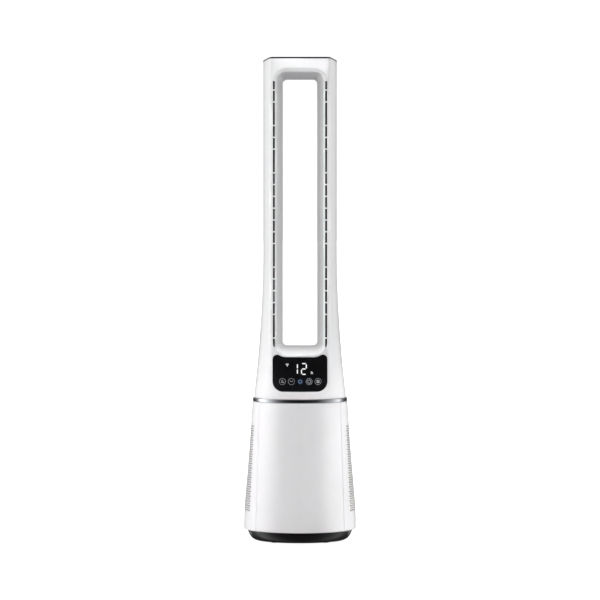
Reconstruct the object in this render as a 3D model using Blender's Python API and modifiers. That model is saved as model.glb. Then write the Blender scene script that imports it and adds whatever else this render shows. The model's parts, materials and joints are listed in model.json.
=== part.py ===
"""Bladeless tower fan on an air-purifier base, modelled as the separate parts that it comes apart into.

Units are metres. +Z is up, the fan blows towards -Y, and the origin is on the ground under the swivel axis.
Heights are measured from the tray's inner floor, and each object is then raised by GROUND_CLEARANCE.
Profiles and outlines are in millimetres where they are short lists.
"""

import math

import bmesh
import bpy
from mathutils import Matrix, Vector

MM = 0.001
GAP = 0.3 * MM  # clearance kept between parts that touch
WALL = 2.5 * MM  # moulded wall thickness
GROUND_CLEARANCE = 6 * MM  # from the ground up to the tray's inner floor

# Driving dimensions of the outside
HEIGHT = 1080 * MM
BASE_RADIUS = 126 * MM
CONE_FOOT_RADIUS = 124 * MM
CONE_HOLLOW = 0.8 * MM  # how far the cone's side curves in at half its height
BASE_TOP_RADIUS = 106.8 * MM
NECK_RADIUS = 103.5 * MM
HEAD_HALF_WIDTH = 83 * MM
HEAD_HALF_DEPTH = 62 * MM

# Heights of the main joints between parts
SKIRT_BOTTOM = 20.6 * MM
SKIRT_UPRIGHT = 84 * MM  # below this the base's cone turns upright
SKIRT_TOP = 308 * MM
NECK_BOTTOM = 317 * MM
FLARE_TOP = 660 * MM  # above this the head is a straight column
CAP_THICKNESS = 3 * MM
CAP_SLOPE = 0.09  # the top falls towards the back

# Window through the head, as half width, bottom, top and corner radius, from front to back
FRONT_WINDOW = (60.4 * MM, 412.5 * MM, 1055.9 * MM, 30 * MM)
LIP_WINDOW = (52.5 * MM, 419.5 * MM, 1047 * MM, 21 * MM)
THROAT_WINDOW = (38.6 * MM, 433 * MM, 1031.7 * MM, 10 * MM)
BACK_WINDOW = (41.5 * MM, 430 * MM, 1034.6 * MM, 13 * MM)
THROAT_Y = 30 * MM
LIP_RECESS = 0.8 * MM
LIP_DEPTH = 5.3 * MM

# Air slots beside the window, each a column of openings between bridges
SLOT_INNER_X = 56.3 * MM
SLOT_OUTER_X = 62 * MM
SLOT_TOP = 1026 * MM
SLOT_BOTTOM = 432.5 * MM
BRIDGE_TOP = 1005.9 * MM
BRIDGE_PITCH = 26.34 * MM
BRIDGE_WIDTH = 2.7 * MM
BRIDGE_COUNT = 22
BRIDGES_LEFT_OUT = (2, 6, 14, 20)

# Display lens
LENS_HALF_WIDTH = 61 * MM
LENS_BOTTOM = 334 * MM
LENS_EAR_TOP = 415.8 * MM
LENS_EAR_RADIUS = 10 * MM
LENS_FOOT_RADIUS = 23 * MM
BOARD_FRONT_Y = -71 * MM
BOARD_THICKNESS = 1.6 * MM
TOUCH_KEYS = 5
TOUCH_PITCH = 20 * MM
TOUCH_HEIGHT = 358 * MM
TOUCH_PAD_RADIUS = 3 * MM

# Half width of the front panel at its seams, which narrows towards the top
SEAM_BOTTOM_X = 99.2 * MM
SEAM_TOP_X = 90.4 * MM

# Vent holes in the rear housing
VENT_COLUMNS = 11
VENT_ROWS = 4
VENT_FIRST_ANGLE = 68  # degrees from the front
VENT_BOTTOM = 66 * MM
VENT_TOP = 258 * MM
VENT_HALF_SIZE = 8 * MM

# Blower, on the swivel axis
SHAFT_RADIUS = 2.5 * MM
IMPELLER_BLADES = 9
DIFFUSER_VANES = 11

# Swivel drive
MODULE = 1.5 * MM
GEAR_TEETH = 100
PINION_TEETH = 12
GEAR_SECTOR_TEETH = 27
PRESSURE_ANGLE = math.radians(25)
ADDENDUM = 0.8 * MODULE
DEDENDUM = 1.1 * MODULE
BACKLASH = 0.25 * MM
DRIVE_RADIUS = MODULE * (GEAR_TEETH + PINION_TEETH) / 2
GEAR_BOTTOM = 306.5 * MM
GEAR_HEIGHT = 7 * MM

# Round filter, lifted out forwards once the front panel is off
PLEATS = 32

# Fasteners and fittings, as (x, z) on the head and angles and radii on the base
BOSS_RADIUS = 4 * MM
BOSSES = ((-52 * MM, 1054 * MM), (52 * MM, 1054 * MM), (-79 * MM, 352 * MM), (79 * MM, 352 * MM))
PARTING_Y = -8 * MM
FOOT_CIRCLE = 78 * MM
DECK_POST_CIRCLE = 100 * MM
DECK_POST_ANGLES = (10, 90, 170)
BASE_SCREW_CIRCLE = 60 * MM
GLAND_HEIGHT = 8 * MM

# colour, roughness, metallic
MATERIALS = {
    "white_gloss": ((0.86, 0.86, 0.87), 0.25, 0.0),
    "white_satin": ((0.80, 0.80, 0.81), 0.40, 0.0),
    "black_gloss": ((0.01, 0.01, 0.012), 0.10, 0.0),
    "black_satin": ((0.02, 0.02, 0.022), 0.45, 0.0),
    "chrome": ((0.75, 0.75, 0.77), 0.08, 1.0),
    "rubber": ((0.03, 0.03, 0.03), 0.80, 0.0),
    "grey_plastic": ((0.35, 0.36, 0.38), 0.50, 0.0),
    "acetal": ((0.78, 0.77, 0.72), 0.45, 0.0),
    "steel": ((0.60, 0.60, 0.60), 0.30, 1.0),
    "copper": ((0.72, 0.36, 0.18), 0.35, 1.0),
    "circuit_board": ((0.02, 0.16, 0.07), 0.50, 0.0),
    "filter_paper": ((0.88, 0.88, 0.84), 0.90, 0.0),
    "fabric": ((0.20, 0.35, 0.55), 0.90, 0.0),
}


# ---------------------------------------------------------------- scene and materials


def clear_scene():
    for obj in list(bpy.data.objects):
        bpy.data.objects.remove(obj)


def make_collection(name):
    collection = bpy.data.collections.new(name)
    bpy.context.scene.collection.children.link(collection)
    return collection


def make_material(name):
    colour, roughness, metallic = MATERIALS[name]
    material = bpy.data.materials.new(name)
    material.use_nodes = True
    shader = material.node_tree.nodes["Principled BSDF"]
    shader.inputs["Base Color"].default_value = (*colour, 1)
    shader.inputs["Roughness"].default_value = roughness
    shader.inputs["Metallic"].default_value = metallic
    return material


clear_scene()
PARTS = make_collection("tower_fan")
CUTTERS = make_collection("cutters")
SURFACES = {name: make_material(name) for name in MATERIALS}


# ---------------------------------------------------------------- ways of making solids


def add_part(obj, material):
    """Puts a finished object in the fan's collection, with its material."""
    PARTS.objects.link(obj)
    obj.location.z += GROUND_CLEARANCE
    obj.data.materials.append(SURFACES[material])
    return obj


def as_cutter(obj):
    CUTTERS.objects.link(obj)
    obj.location.z += GROUND_CLEARANCE
    obj.hide_render = True
    obj.display_type = "WIRE"
    return obj


def boolean(obj, other, operation="DIFFERENCE"):
    modifier = obj.modifiers.new(f"{operation.lower()} {other.name}", "BOOLEAN")
    modifier.operation = operation
    modifier.object = other
    return obj


def cut(obj, cutter):
    return boolean(obj, as_cutter(cutter))


def join(obj, addition):
    return boolean(obj, as_cutter(addition), "UNION")


def mesh_object(name, bm, smooth_degrees=None):
    mesh = bpy.data.meshes.new(name)
    bm.to_mesh(mesh)
    bm.free()
    if smooth_degrees:
        mesh.shade_smooth()
        mesh.set_sharp_from_angle(angle=math.radians(smooth_degrees))
    return bpy.data.objects.new(name, mesh)


def turned(name, profile, steps=24):
    """A profile of (radius, height) points in mm, outer side first from top to bottom, turned about Z.

    A profile that starts and ends on the axis is left open there, and any other is a closed ring."""
    bm = bmesh.new()
    corners = [bm.verts.new((radius * MM, 0, height * MM)) for radius, height in profile]
    for first, second in zip(corners, corners[1:]):
        bm.edges.new((first, second))
    if profile[0][0] > 0 or profile[-1][0] > 0:
        bm.edges.new((corners[-1], corners[0]))
    obj = mesh_object(name, bm)
    screw = obj.modifiers.new("turn", "SCREW")
    screw.steps = steps
    screw.render_steps = steps
    screw.use_merge_vertices = True
    screw.merge_threshold = 0.00001
    screw.use_smooth_shade = True
    return obj


def loft(name, rings, closed=False, smooth_degrees=30):
    """Joins rings of equal length with quads. The ends are capped, or joined to each other when closed."""
    bm = bmesh.new()
    rows = [[bm.verts.new(point) for point in ring] for ring in rings]
    pairs = list(zip(rows, rows[1:]))
    if closed:
        pairs.append((rows[-1], rows[0]))
    else:
        bm.faces.new(reversed(rows[0]))
        bm.faces.new(rows[-1])
    for low, high in pairs:
        for i in range(len(low)):
            j = (i + 1) % len(low)
            bm.faces.new((low[i], low[j], high[j], high[i]))
    bmesh.ops.recalc_face_normals(bm, faces=bm.faces)
    return mesh_object(name, bm, smooth_degrees)


def prism(name, corners, thickness):
    """A flat face with the given corners, thickened on the side that its normal points away from."""
    bm = bmesh.new()
    bm.faces.new([bm.verts.new(corner) for corner in corners])
    obj = mesh_object(name, bm)
    solidify = obj.modifiers.new("thickness", "SOLIDIFY")
    solidify.thickness = thickness
    solidify.offset = -1
    return obj


def prism_along_y(name, outline, y_low, y_high):
    """An outline of (x, z) points, anticlockwise from the front, extruded towards +Y."""
    return prism(name, [(x, y_low, z) for x, z in outline], y_high - y_low)


def prism_along_z(name, outline, z_low, z_high):
    """An outline of (x, y) points, anticlockwise from above, extruded upwards."""
    return prism(name, [(x, y, z_low) for x, y in reversed(outline)], z_high - z_low)


def boxes(name, extents):
    """One mesh that holds a box for each (lowest corner, highest corner)."""
    bm = bmesh.new()
    for low, high in extents:
        low, high = Vector(low), Vector(high)
        place = Matrix.Translation((low + high) / 2) @ Matrix.Diagonal((*(high - low), 1))
        bmesh.ops.create_cube(bm, size=1, matrix=place)
    return mesh_object(name, bm)


def rods(name, ends, radius, sides=16):
    """One mesh that holds a cylinder for each (start, end)."""
    bm = bmesh.new()
    for start, end in ends:
        start, end = Vector(start), Vector(end)
        along = end - start
        turn = along.to_track_quat("Z", "Y").to_matrix().to_4x4()
        size = {"radius1": radius, "radius2": radius, "depth": along.length, "segments": sides}
        place = Matrix.Translation((start + end) / 2) @ turn
        bmesh.ops.create_cone(bm, cap_ends=True, matrix=place, **size)
    return mesh_object(name, bm, 40)


def cable(name, points, radius):
    """A round cable on a POLY spline through the points, in mm."""
    curve = bpy.data.curves.new(name, "CURVE")
    curve.dimensions = "3D"
    curve.bevel_depth = radius * MM
    curve.bevel_resolution = 2
    curve.use_fill_caps = True
    spline = curve.splines.new("POLY")
    spline.points.add(len(points) - 1)
    for knot, (x, y, z) in zip(spline.points, points):
        knot.co = (x * MM, y * MM, z * MM, 1)
    return bpy.data.objects.new(name, curve)


def arc(centre, radius, start, end, count):
    """Points on an arc, with angles in degrees."""
    angles = [math.radians(start + (end - start) * i / (count - 1)) for i in range(count)]
    return [(centre[0] + radius * math.cos(a), centre[1] + radius * math.sin(a)) for a in angles]


def mirrored(right):
    """Closes a right-hand half outline with its mirror image."""
    return right + [(-x, z) for x, z in reversed(right)]


def grow(outline, distance):
    """Moves each point of an anticlockwise outline outwards along its normal."""
    grown = []
    for i, point in enumerate(outline):
        before = Vector(outline[i - 1])
        after = Vector(outline[(i + 1) % len(outline)])
        along = (after - before).normalized()
        grown.append((point[0] + along.y * distance, point[1] - along.x * distance))
    return grown


def mix(start, end, share):
    return start + (end - start) * share


def on_circle(radius, degrees):
    return radius * math.cos(math.radians(degrees)), radius * math.sin(math.radians(degrees))


# ---------------------------------------------------------------- outer shape of the head

# Angles from the front, in degrees, closest together at the edge between front face and side
SECTION_ANGLES = (0, 12, 24, 32, 36.5, 38.7, 41, 46, 56, 68, 79, 90, 101, 113, 126, 140, 153, 166, 180)
FACE_EDGE = 0.81  # where the front face ends, as a share of the half width
SIDE_START = 0.12  # where the side facet reaches full width, as a share of the half depth
EDGE_SHARPNESS = 26
BACK_SHARPNESS = 2.7
FLARE_STEPS = 6
SHELL_TOP_DROP = CAP_THICKNESS + GAP


def column_reach(angle):
    """Distance from the axis to the column's outline, where its half width and half depth are both 1."""
    across, forward = math.sin(angle), math.cos(angle)
    if forward < 0:
        return (across**BACK_SHARPNESS + (-forward) ** BACK_SHARPNESS) ** (-1 / BACK_SHARPNESS)
    facet_run, facet_rise = 1 - SIDE_START, 1 - FACE_EDGE
    facet = (facet_run * across + facet_rise * forward) / (facet_run * FACE_EDGE + facet_rise)
    return sum(side**EDGE_SHARPNESS for side in (forward, across, facet)) ** (-1 / EDGE_SHARPNESS)


def head_section(z, inset=0.0):
    """The head's outline at a height, anticlockwise from above, starting at the front centre."""
    flare = min(1, max(0, (FLARE_TOP - z) / (FLARE_TOP - NECK_BOTTOM))) ** 2
    half_width = mix(HEAD_HALF_WIDTH, NECK_RADIUS, flare) - inset
    half_depth = mix(HEAD_HALF_DEPTH, NECK_RADIUS, flare) - inset
    right = []
    for degrees in SECTION_ANGLES:
        angle = math.radians(degrees)
        reach = mix(column_reach(angle), 1, flare)
        right.append((half_width * reach * math.sin(angle), -half_depth * reach * math.cos(angle)))
    left = [(-x, y) for x, y in right[-2:0:-1]]
    return right + left


def top_height(y, below):
    """Height of the sloping top at a depth, less the distance below it."""
    return HEIGHT - below - CAP_SLOPE * (y + HEAD_HALF_DEPTH)


def head_volume(name, inset, bottom, below_top):
    """The closed volume inside the head's outline, from a height up to the sloping top."""
    rise = FLARE_TOP - NECK_BOTTOM
    levels = [NECK_BOTTOM + rise * (i / FLARE_STEPS) ** 1.2 for i in range(1, FLARE_STEPS + 1)]
    rings = [[(x, y, z) for x, y in head_section(z, inset)] for z in [bottom] + levels]
    rings.append([(x, y, top_height(y, below_top)) for x, y in head_section(HEIGHT, inset)])
    return loft(name, rings)


def surface_y(x, z, back=False):
    """Depth of the head's front or back surface at a place on it."""
    outline = head_section(z)[: len(SECTION_ANGLES)]
    if back:
        outline = outline[::-1]
    for (x0, y0), (x1, y1) in zip(outline, outline[1:]):
        if x0 <= abs(x) <= x1:
            return mix(y0, y1, (abs(x) - x0) / (x1 - x0))
    return outline[-1][1]


# ---------------------------------------------------------------- head shells, nozzle and cap

WINDOW_SIDE_STOPS = (0.045, 0.09, 0.145, 0.21, 0.29, 0.4)


def window_outline(window, growth=0.0):
    """A round-cornered rectangle of (x, z) points, anticlockwise from the front, from the bottom right."""
    half_width, bottom, top, radius = window
    half_width, bottom, top, radius = half_width + growth, bottom - growth, top + growth, radius + growth
    x, low, high = half_width - radius, bottom + radius, top - radius
    side = [(half_width, mix(low, high, share)) for share in WINDOW_SIDE_STOPS]
    return mirrored([*arc((x, low), radius, -90, 0, 6), *side, *arc((x, high), radius, 0, 90, 6)])


def lens_outline(growth=0.0):
    """The display lens: two ears beside the window's corners, a dip that follows them, and round feet."""
    half_width, bottom, _, radius = FRONT_WINDOW
    corner = (half_width - radius, bottom + radius)
    ear = (LENS_HALF_WIDTH - LENS_EAR_RADIUS, LENS_EAR_TOP - LENS_EAR_RADIUS)
    foot = (LENS_HALF_WIDTH - LENS_FOOT_RADIUS, LENS_BOTTOM + LENS_FOOT_RADIUS)
    lean = math.degrees(math.atan2(corner[1] - ear[1], ear[0] - corner[0]))
    dip_radius = math.dist(corner, ear) - LENS_EAR_RADIUS
    feet = arc(foot, LENS_FOOT_RADIUS, -90, 0, 7)
    ears = arc(ear, LENS_EAR_RADIUS, 0, 180 - lean, 7)
    dip = arc(corner, dip_radius, -lean, -90, 4)[1:]
    return grow(mirrored([*feet, *ears, *dip]), growth)


def boss_ends():
    """Start and end of each screw boss, from behind the front surface to inside the back shell."""
    ends = []
    for x, z in BOSSES:
        reach = abs(x) + BOSS_RADIUS
        front, back = surface_y(reach, z) + 1.2 * MM, surface_y(reach, z, True) - 3 * WALL
        ends.append(((x, front, z), (x, back, z)))
    return ends


def head_hollow(name):
    return head_volume(name, WALL, NECK_BOTTOM - GAP, SHELL_TOP_DROP + WALL)


def head_front_shell():
    shell = add_part(head_volume("head_front_shell", 0, NECK_BOTTOM, SHELL_TOP_DROP), "white_gloss")
    cut(shell, head_hollow("cut_front_hollow"))
    cut(shell, boxes("cut_back_half", [((-0.2, PARTING_Y, 0.2), (0.2, 0.2, 1.2))]))
    join(shell, rods("join_bosses", boss_ends(), BOSS_RADIUS))
    pilots = [((x, y - 12 * MM, z), (x, y + 1 * MM, z)) for _, (x, y, z) in boss_ends()]
    cut(shell, rods("cut_pilot_holes", pilots, 1.8 * MM, 8))
    cut(shell, prism_along_y("cut_front_window", window_outline(FRONT_WINDOW), -0.15, -0.03))
    cut(shell, prism_along_y("cut_lens_window", lens_outline(GAP), -0.15, -0.03))


def head_rear_shell():
    shell = add_part(head_volume("head_rear_shell", 0, NECK_BOTTOM, SHELL_TOP_DROP), "white_gloss")
    cut(shell, head_hollow("cut_rear_hollow"))
    cut(shell, boxes("cut_front_half", [((-0.2, -0.2, 0.2), (0.2, PARTING_Y + GAP, 1.2))]))
    walls = [((x, y + GAP, z), (x, y + 30 * MM, z)) for _, (x, y, z) in boss_ends()]
    cups = rods("join_screw_cups", walls, 6.2 * MM)
    inside = head_volume("keep_inside_head", 1 * MM, NECK_BOTTOM, 2 * SHELL_TOP_DROP)
    boolean(cups, as_cutter(inside), "INTERSECT")
    join(shell, cups)
    seats = [((x, y + WALL, z), (x, y + 40 * MM, z)) for _, (x, y, z) in boss_ends()]
    cut(shell, rods("cut_screw_seats", seats, 4.7 * MM, 8))
    holes = [((x, y - 1 * MM, z), (x, y + 4 * MM, z)) for _, (x, y, z) in boss_ends()]
    cut(shell, rods("cut_screw_holes", holes, 1.9 * MM, 8))
    cut(shell, prism_along_y("cut_back_window", window_outline(BACK_WINDOW, WALL), 0.03, 0.15))


def shell_screws():
    """Pan-head screws through the back shell's cups into the front shell's bosses."""
    profile = [(0, 5), (2.6, 5), (4, 4), (4, 2.8), (1.5, 2.8), (1.5, -10), (0, -11)]
    for number, (_, end) in enumerate(boss_ends(), 1):
        screw = add_part(turned(f"shell_screw_{number}", profile, 8), "steel")
        screw.location += Vector(end)
        screw.rotation_euler.x = -math.pi / 2


def bridge_middles():
    return [BRIDGE_TOP - BRIDGE_PITCH * i for i in range(BRIDGE_COUNT) if i not in BRIDGES_LEFT_OUT]


def nozzle_liner():
    """The loop that lines the window: a lip that holds the air slots, then a funnel to the back."""

    def behind_front(window, growth, distance):
        return [(x, surface_y(x, z) + distance, z) for x, z in window_outline(window, growth)]

    def at_throat(growth):
        return [(x, THROAT_Y, z) for x, z in window_outline(THROAT_WINDOW, growth)]

    def at_back(growth):
        outline = window_outline(BACK_WINDOW, growth)
        return [(x, surface_y(x, z, True) - LIP_RECESS, z) for x, z in outline]

    rings = [
        behind_front(FRONT_WINDOW, -GAP, LIP_RECESS),
        behind_front(LIP_WINDOW, 0, LIP_DEPTH),
        at_throat(0),
        at_back(0),
        at_back(WALL - GAP),
        at_throat(WALL),
        behind_front(LIP_WINDOW, WALL, LIP_DEPTH + WALL),
        behind_front(FRONT_WINDOW, -GAP, LIP_RECESS + WALL),
    ]
    liner = add_part(loft("nozzle_liner", rings, closed=True), "white_gloss")
    tops = [SLOT_TOP] + [z - BRIDGE_WIDTH / 2 for z in bridge_middles()]
    bottoms = [z + BRIDGE_WIDTH / 2 for z in bridge_middles()] + [SLOT_BOTTOM]
    slots = []
    for top, bottom in zip(tops, bottoms):
        slots.append(((SLOT_INNER_X, -0.1, bottom), (SLOT_OUTER_X, -0.05, top)))
        slots.append(((-SLOT_OUTER_X, -0.1, bottom), (-SLOT_INNER_X, -0.05, top)))
    cut(liner, boxes("cut_air_slots", slots))


def top_cap():
    """A thin black plate that follows the sloping top."""
    outer = head_section(HEIGHT, 0.2 * MM)
    rings = [
        [(x, y, top_height(y, CAP_THICKNESS)) for x, y in outer],
        [(x, y, top_height(y, 0.7 * MM)) for x, y in outer],
        [(x, y, top_height(y, 0)) for x, y in head_section(HEIGHT, 1.2 * MM)],
    ]
    add_part(loft("top_cap", rings), "black_gloss")


def flow_splitter():
    """A wedge over the swivel hub that sends the air up both sides of the window."""
    half = [(0, 350), (7, 352), (36, 396), (36, 402), (0, 402)]
    outline = [(x * MM, z * MM) for x, z in half + [(-x, z) for x, z in half[-2:0:-1]]]
    add_part(prism_along_y("flow_splitter", outline, -0.05, 0.062), "grey_plastic")


def head_shells():
    head_front_shell()
    head_rear_shell()
    shell_screws()
    nozzle_liner()
    top_cap()
    flow_splitter()


# ---------------------------------------------------------------- display


def lens_back_y(points):
    """Depth just behind the lens's inner face over all of the (x, z) points."""
    return max(surface_y(x, z) for x, z in points) + WALL + GAP


def display():
    lens = add_part(head_volume("display_lens", 0, NECK_BOTTOM, SHELL_TOP_DROP), "black_gloss")
    outline = prism_along_y("keep_lens", lens_outline(), -0.15, -0.03)
    boolean(lens, as_cutter(outline), "INTERSECT")
    cut(lens, head_hollow("cut_lens_hollow"))
    board = ((-0.048, BOARD_FRONT_Y, 0.341), (0.048, BOARD_FRONT_Y + BOARD_THICKNESS, 0.4))
    add_part(boxes("display_board", [board]), "circuit_board")
    half_width, bottom, top = 17 * MM, 371 * MM, 397 * MM
    front = lens_back_y([(x, z) for x in (0, half_width) for z in (bottom, top)])
    digits = ((-half_width, front, bottom), (half_width, BOARD_FRONT_Y - GAP, top))
    add_part(boxes("digit_module", [digits]), "grey_plastic")
    for key in range(TOUCH_KEYS):
        x = (key - (TOUCH_KEYS - 1) / 2) * TOUCH_PITCH
        r = TOUCH_PAD_RADIUS
        front = lens_back_y([(x + dx, TOUCH_HEIGHT + dz) for dx in (-r, r) for dz in (-r, r)])
        ends = ((x, front, TOUCH_HEIGHT), (x, BOARD_FRONT_Y - GAP, TOUCH_HEIGHT))
        add_part(rods(f"touch_pad_{key + 1}", [ends], r, 12), "rubber")
    drop = [(20, -67, 350), (20, -65, 341), (21, -66, 333), (24, -72, 326), (26, -80, 323.5)]
    add_part(cable("display_cable", drop, 1.5), "rubber")


# ---------------------------------------------------------------- swivel


def tooth_points(teeth, middle, outer, root, count=3):
    """(x, y) points over one involute tooth whose middle is at an angle, anticlockwise."""
    pitch = MODULE * teeth / 2
    base = pitch * math.cos(PRESSURE_ANGLE)
    half_at_pitch = math.pi / (2 * teeth) - BACKLASH / (4 * pitch)
    spread = math.tan(PRESSURE_ANGLE) - PRESSURE_ANGLE
    flank = []
    for i in range(count):
        radius = mix(max(base, root), outer, i / (count - 1))
        roll = math.acos(min(1, base / radius))
        flank.append((radius, half_at_pitch + spread - (math.tan(roll) - roll)))
    if root < base:
        flank.insert(0, (root, flank[0][1]))
    polar = [(r, middle - a) for r, a in flank] + [(r, middle + a) for r, a in reversed(flank)]
    return [(r * math.cos(a), r * math.sin(a)) for r, a in polar]


def sector_gear():
    """External teeth on an arc at the back of the hub, driven by the pinion."""
    pitch = MODULE * GEAR_TEETH / 2
    step = 2 * math.pi / GEAR_TEETH
    first = math.pi / 2 - step * (GEAR_SECTOR_TEETH - 1) / 2
    outline = []
    for tooth in range(GEAR_SECTOR_TEETH):
        outline += tooth_points(GEAR_TEETH, first + step * tooth, pitch + ADDENDUM, pitch - DEDENDUM, 2)
    half_span = math.degrees(step * GEAR_SECTOR_TEETH / 2)
    outline += arc((0, 0), 70.4 * MM, 90 + half_span, 90 - half_span, 28)
    add_part(prism_along_z("sector_gear", outline, GEAR_BOTTOM, GEAR_BOTTOM + GEAR_HEIGHT), "acetal")


def drive_pinion():
    """The pinion and its shaft, about its own axis. One of its gaps faces the gear's middle tooth."""
    pitch = MODULE * PINION_TEETH / 2
    step = 2 * math.pi / PINION_TEETH
    outline = []
    for tooth in range(PINION_TEETH):
        middle = -math.pi / 2 + step * (tooth + 0.5)
        outline += tooth_points(PINION_TEETH, middle, pitch + ADDENDUM, pitch - DEDENDUM)
    pinion = add_part(prism_along_z("drive_pinion", outline, 306 * MM, 314 * MM), "acetal")
    pinion.location.y = DRIVE_RADIUS
    shaft = ((0, DRIVE_RADIUS, 0.2962), (0, DRIVE_RADIUS, 0.31))
    join(pinion, rods("join_pinion_shaft", [shaft], 3 * MM, 12))


def swivel():
    hub = [(63, 345), (63, 321), (98.3, 321), (98.3, 318), (70, 318), (70, 303.4), (63, 303.4)]
    add_part(turned("swivel_hub", [*hub, (63, 291), (60, 291), (60, 345)], 28), "grey_plastic")
    collar = [(69.5, 295.5), (69.5, 291.5), (64, 291.5), (64, 295.5)]
    add_part(turned("retaining_ring", collar), "steel")
    slide = [(75, 303.1), (75, 300.3), (65, 300.3), (65, 303.1)]
    add_part(turned("slide_ring", slide), "acetal")
    dish = [(103.5, 308.5), (103.5, 296), (64, 296), (64, 300), (97, 300), (97, 308.5)]
    base = add_part(turned("turntable_base", dish, 36), "grey_plastic")
    cut(base, rods("cut_pinion_hole", [((0, DRIVE_RADIUS, 0.29), (0, DRIVE_RADIUS, 0.305))], 4 * MM))
    trim = [(104, 316.3), (105, 315.3), (105, 309.8), (104, 308.8), (99, 308.8), (99, 316.3)]
    add_part(turned("chrome_ring", trim, 44), "chrome")
    body = [((0, DRIVE_RADIUS, 0.277), (0, DRIVE_RADIUS, 0.2957))]
    add_part(rods("swivel_motor", body, 14 * MM, 24), "steel")
    sector_gear()
    drive_pinion()


# ---------------------------------------------------------------- base


def skirt_radius(z):
    """The base's outer radius: a slightly hollow cone that turns upright near the ground."""
    if z > SKIRT_UPRIGHT:
        share = (z - SKIRT_UPRIGHT) / (SKIRT_TOP - SKIRT_UPRIGHT)
        return mix(CONE_FOOT_RADIUS, BASE_TOP_RADIUS, share) - CONE_HOLLOW * 4 * share * (1 - share)
    share = (SKIRT_UPRIGHT - z) / (SKIRT_UPRIGHT - SKIRT_BOTTOM)
    return mix(CONE_FOOT_RADIUS, BASE_RADIUS, 1 - (1 - share) ** 2)


def skirt(name):
    """The whole ring of the base's outer wall, with a lip turned in at its lower end."""
    outer = [(skirt_radius(z * MM) / MM, z) for z in (308, 235, 160, 84, 55, 25)]
    lip = [(124.5, 21.6), (123, 20.6), (119.5, 20.6), (119.5, 23), (123.2, 23)]
    inner = [(radius - WALL / MM, z) for radius, z in reversed(outer[:-1])]
    return turned(name, outer + lip + inner, 56)


def seam_block(name, shift):
    """A tapered block over the front panel, wider by the shift on each side."""
    slope = (SEAM_TOP_X - SEAM_BOTTOM_X) / (SKIRT_TOP - SKIRT_BOTTOM)
    low, high = 0.01, 0.33
    low_x = SEAM_BOTTOM_X + slope * (low - SKIRT_BOTTOM) + shift
    high_x = SEAM_BOTTOM_X + slope * (high - SKIRT_BOTTOM) + shift
    outline = [(-low_x, low), (low_x, low), (high_x, high), (-high_x, high)]
    return as_cutter(prism_along_y(name, outline, -0.2, 0))


def vent_holes():
    """Radial bars of square section standing on a corner, each row half a step from the last."""
    bm = bmesh.new()
    step = 2 * (180 - VENT_FIRST_ANGLE) / (VENT_COLUMNS - 1)
    for row in range(VENT_ROWS):
        z = mix(VENT_BOTTOM, VENT_TOP, row / (VENT_ROWS - 1))
        shift = row % 2
        for column in range(VENT_COLUMNS - shift):
            angle = VENT_FIRST_ANGLE + (column + shift / 2) * step
            turn = Matrix.Rotation(math.radians(angle - 90), 4, "Z") @ Matrix.Rotation(math.pi / 2, 4, "Y")
            place = Matrix.Translation((0, 0, z)) @ turn @ Matrix.Translation((0, 0, 0.118))
            size = {"radius1": VENT_HALF_SIZE, "radius2": VENT_HALF_SIZE, "depth": 0.05, "segments": 4}
            bmesh.ops.create_cone(bm, cap_ends=True, matrix=place, **size)
    return mesh_object("cut_vent_holes", bm)


def base_shell():
    housing = add_part(skirt("rear_housing"), "white_gloss")
    boolean(housing, seam_block("cut_panel_opening", 0))
    cut(housing, vent_holes())
    panel = add_part(skirt("front_panel"), "white_gloss")
    boolean(panel, seam_block("keep_front_panel", -GAP), "INTERSECT")


def base_tray():
    """The black tray that the base stands on, its feet and screws, and the gland for the cord."""
    feet = [on_circle(FOOT_CIRCLE, 45 + 90 * i) for i in range(4)]
    screws = [on_circle(BASE_SCREW_CIRCLE, 90 * i) for i in range(4)]
    ground = -GROUND_CLEARANCE
    inner = [(0, 0), (92, 0), (105, 4), (113.5, 20.3)]
    wall = [(118.4, 20.3), (117.5, 17), (115.7, 12.5), (113.3, 7), (109.5, 2), (104.5, -1.6)]
    tray = add_part(turned("base_tray", inner + wall + [(96, -4), (0, -4)], 36), "black_satin")
    cut(tray, rods("cut_cord_hole", [((0, 0.095, GLAND_HEIGHT), (0, 0.13, GLAND_HEIGHT))], 5.8 * MM))
    cut(tray, rods("cut_foot_seats", [((x, y, ground), (x, y, -2 * MM)) for x, y in feet], 10 * MM))
    cut(tray, rods("cut_screw_ways", [((x, y, ground), (x, y, 4 * MM)) for x, y in screws], 2.2 * MM, 8))
    foot = [(0, -2.3), (9.7, -2.3), (9.7, -5), (8.5, -6), (0, -6)]
    for number, (x, y) in enumerate(feet, 1):
        add_part(turned(f"foot_{number}", foot, 14), "rubber").location += Vector((x, y, 0))
    screw = [(0, 21), (1.7, 21), (1.7, -4.3), (3.8, -4.3), (3.8, -5.1), (2.6, -5.7), (0, -5.7)]
    for number, (x, y) in enumerate(screws, 1):
        add_part(turned(f"base_screw_{number}", screw, 8), "steel").location += Vector((x, y, 0))
    seat = add_part(turned("filter_seat", [(0, 28), (117, 28), (117, 25.4), (0, 25.4)], 32), "grey_plastic")
    join(seat, rods("join_screw_posts", [((x, y, 0.014), (x, y, 0.0265)) for x, y in screws], 5 * MM, 12))
    cut(seat, rods("cut_screw_posts", [((x, y, 0.01), (x, y, 0.023)) for x, y in screws], 2 * MM, 8))
    bushing = [(7.5, 120.6), (7.5, 117.8), (5.5, 117.8), (5.5, 104), (3.2, 104), (3.2, 120.6)]
    gland = add_part(turned("cord_gland", bushing, 16), "rubber")
    gland.location.z += GLAND_HEIGHT
    gland.rotation_euler.x = -math.pi / 2


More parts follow.
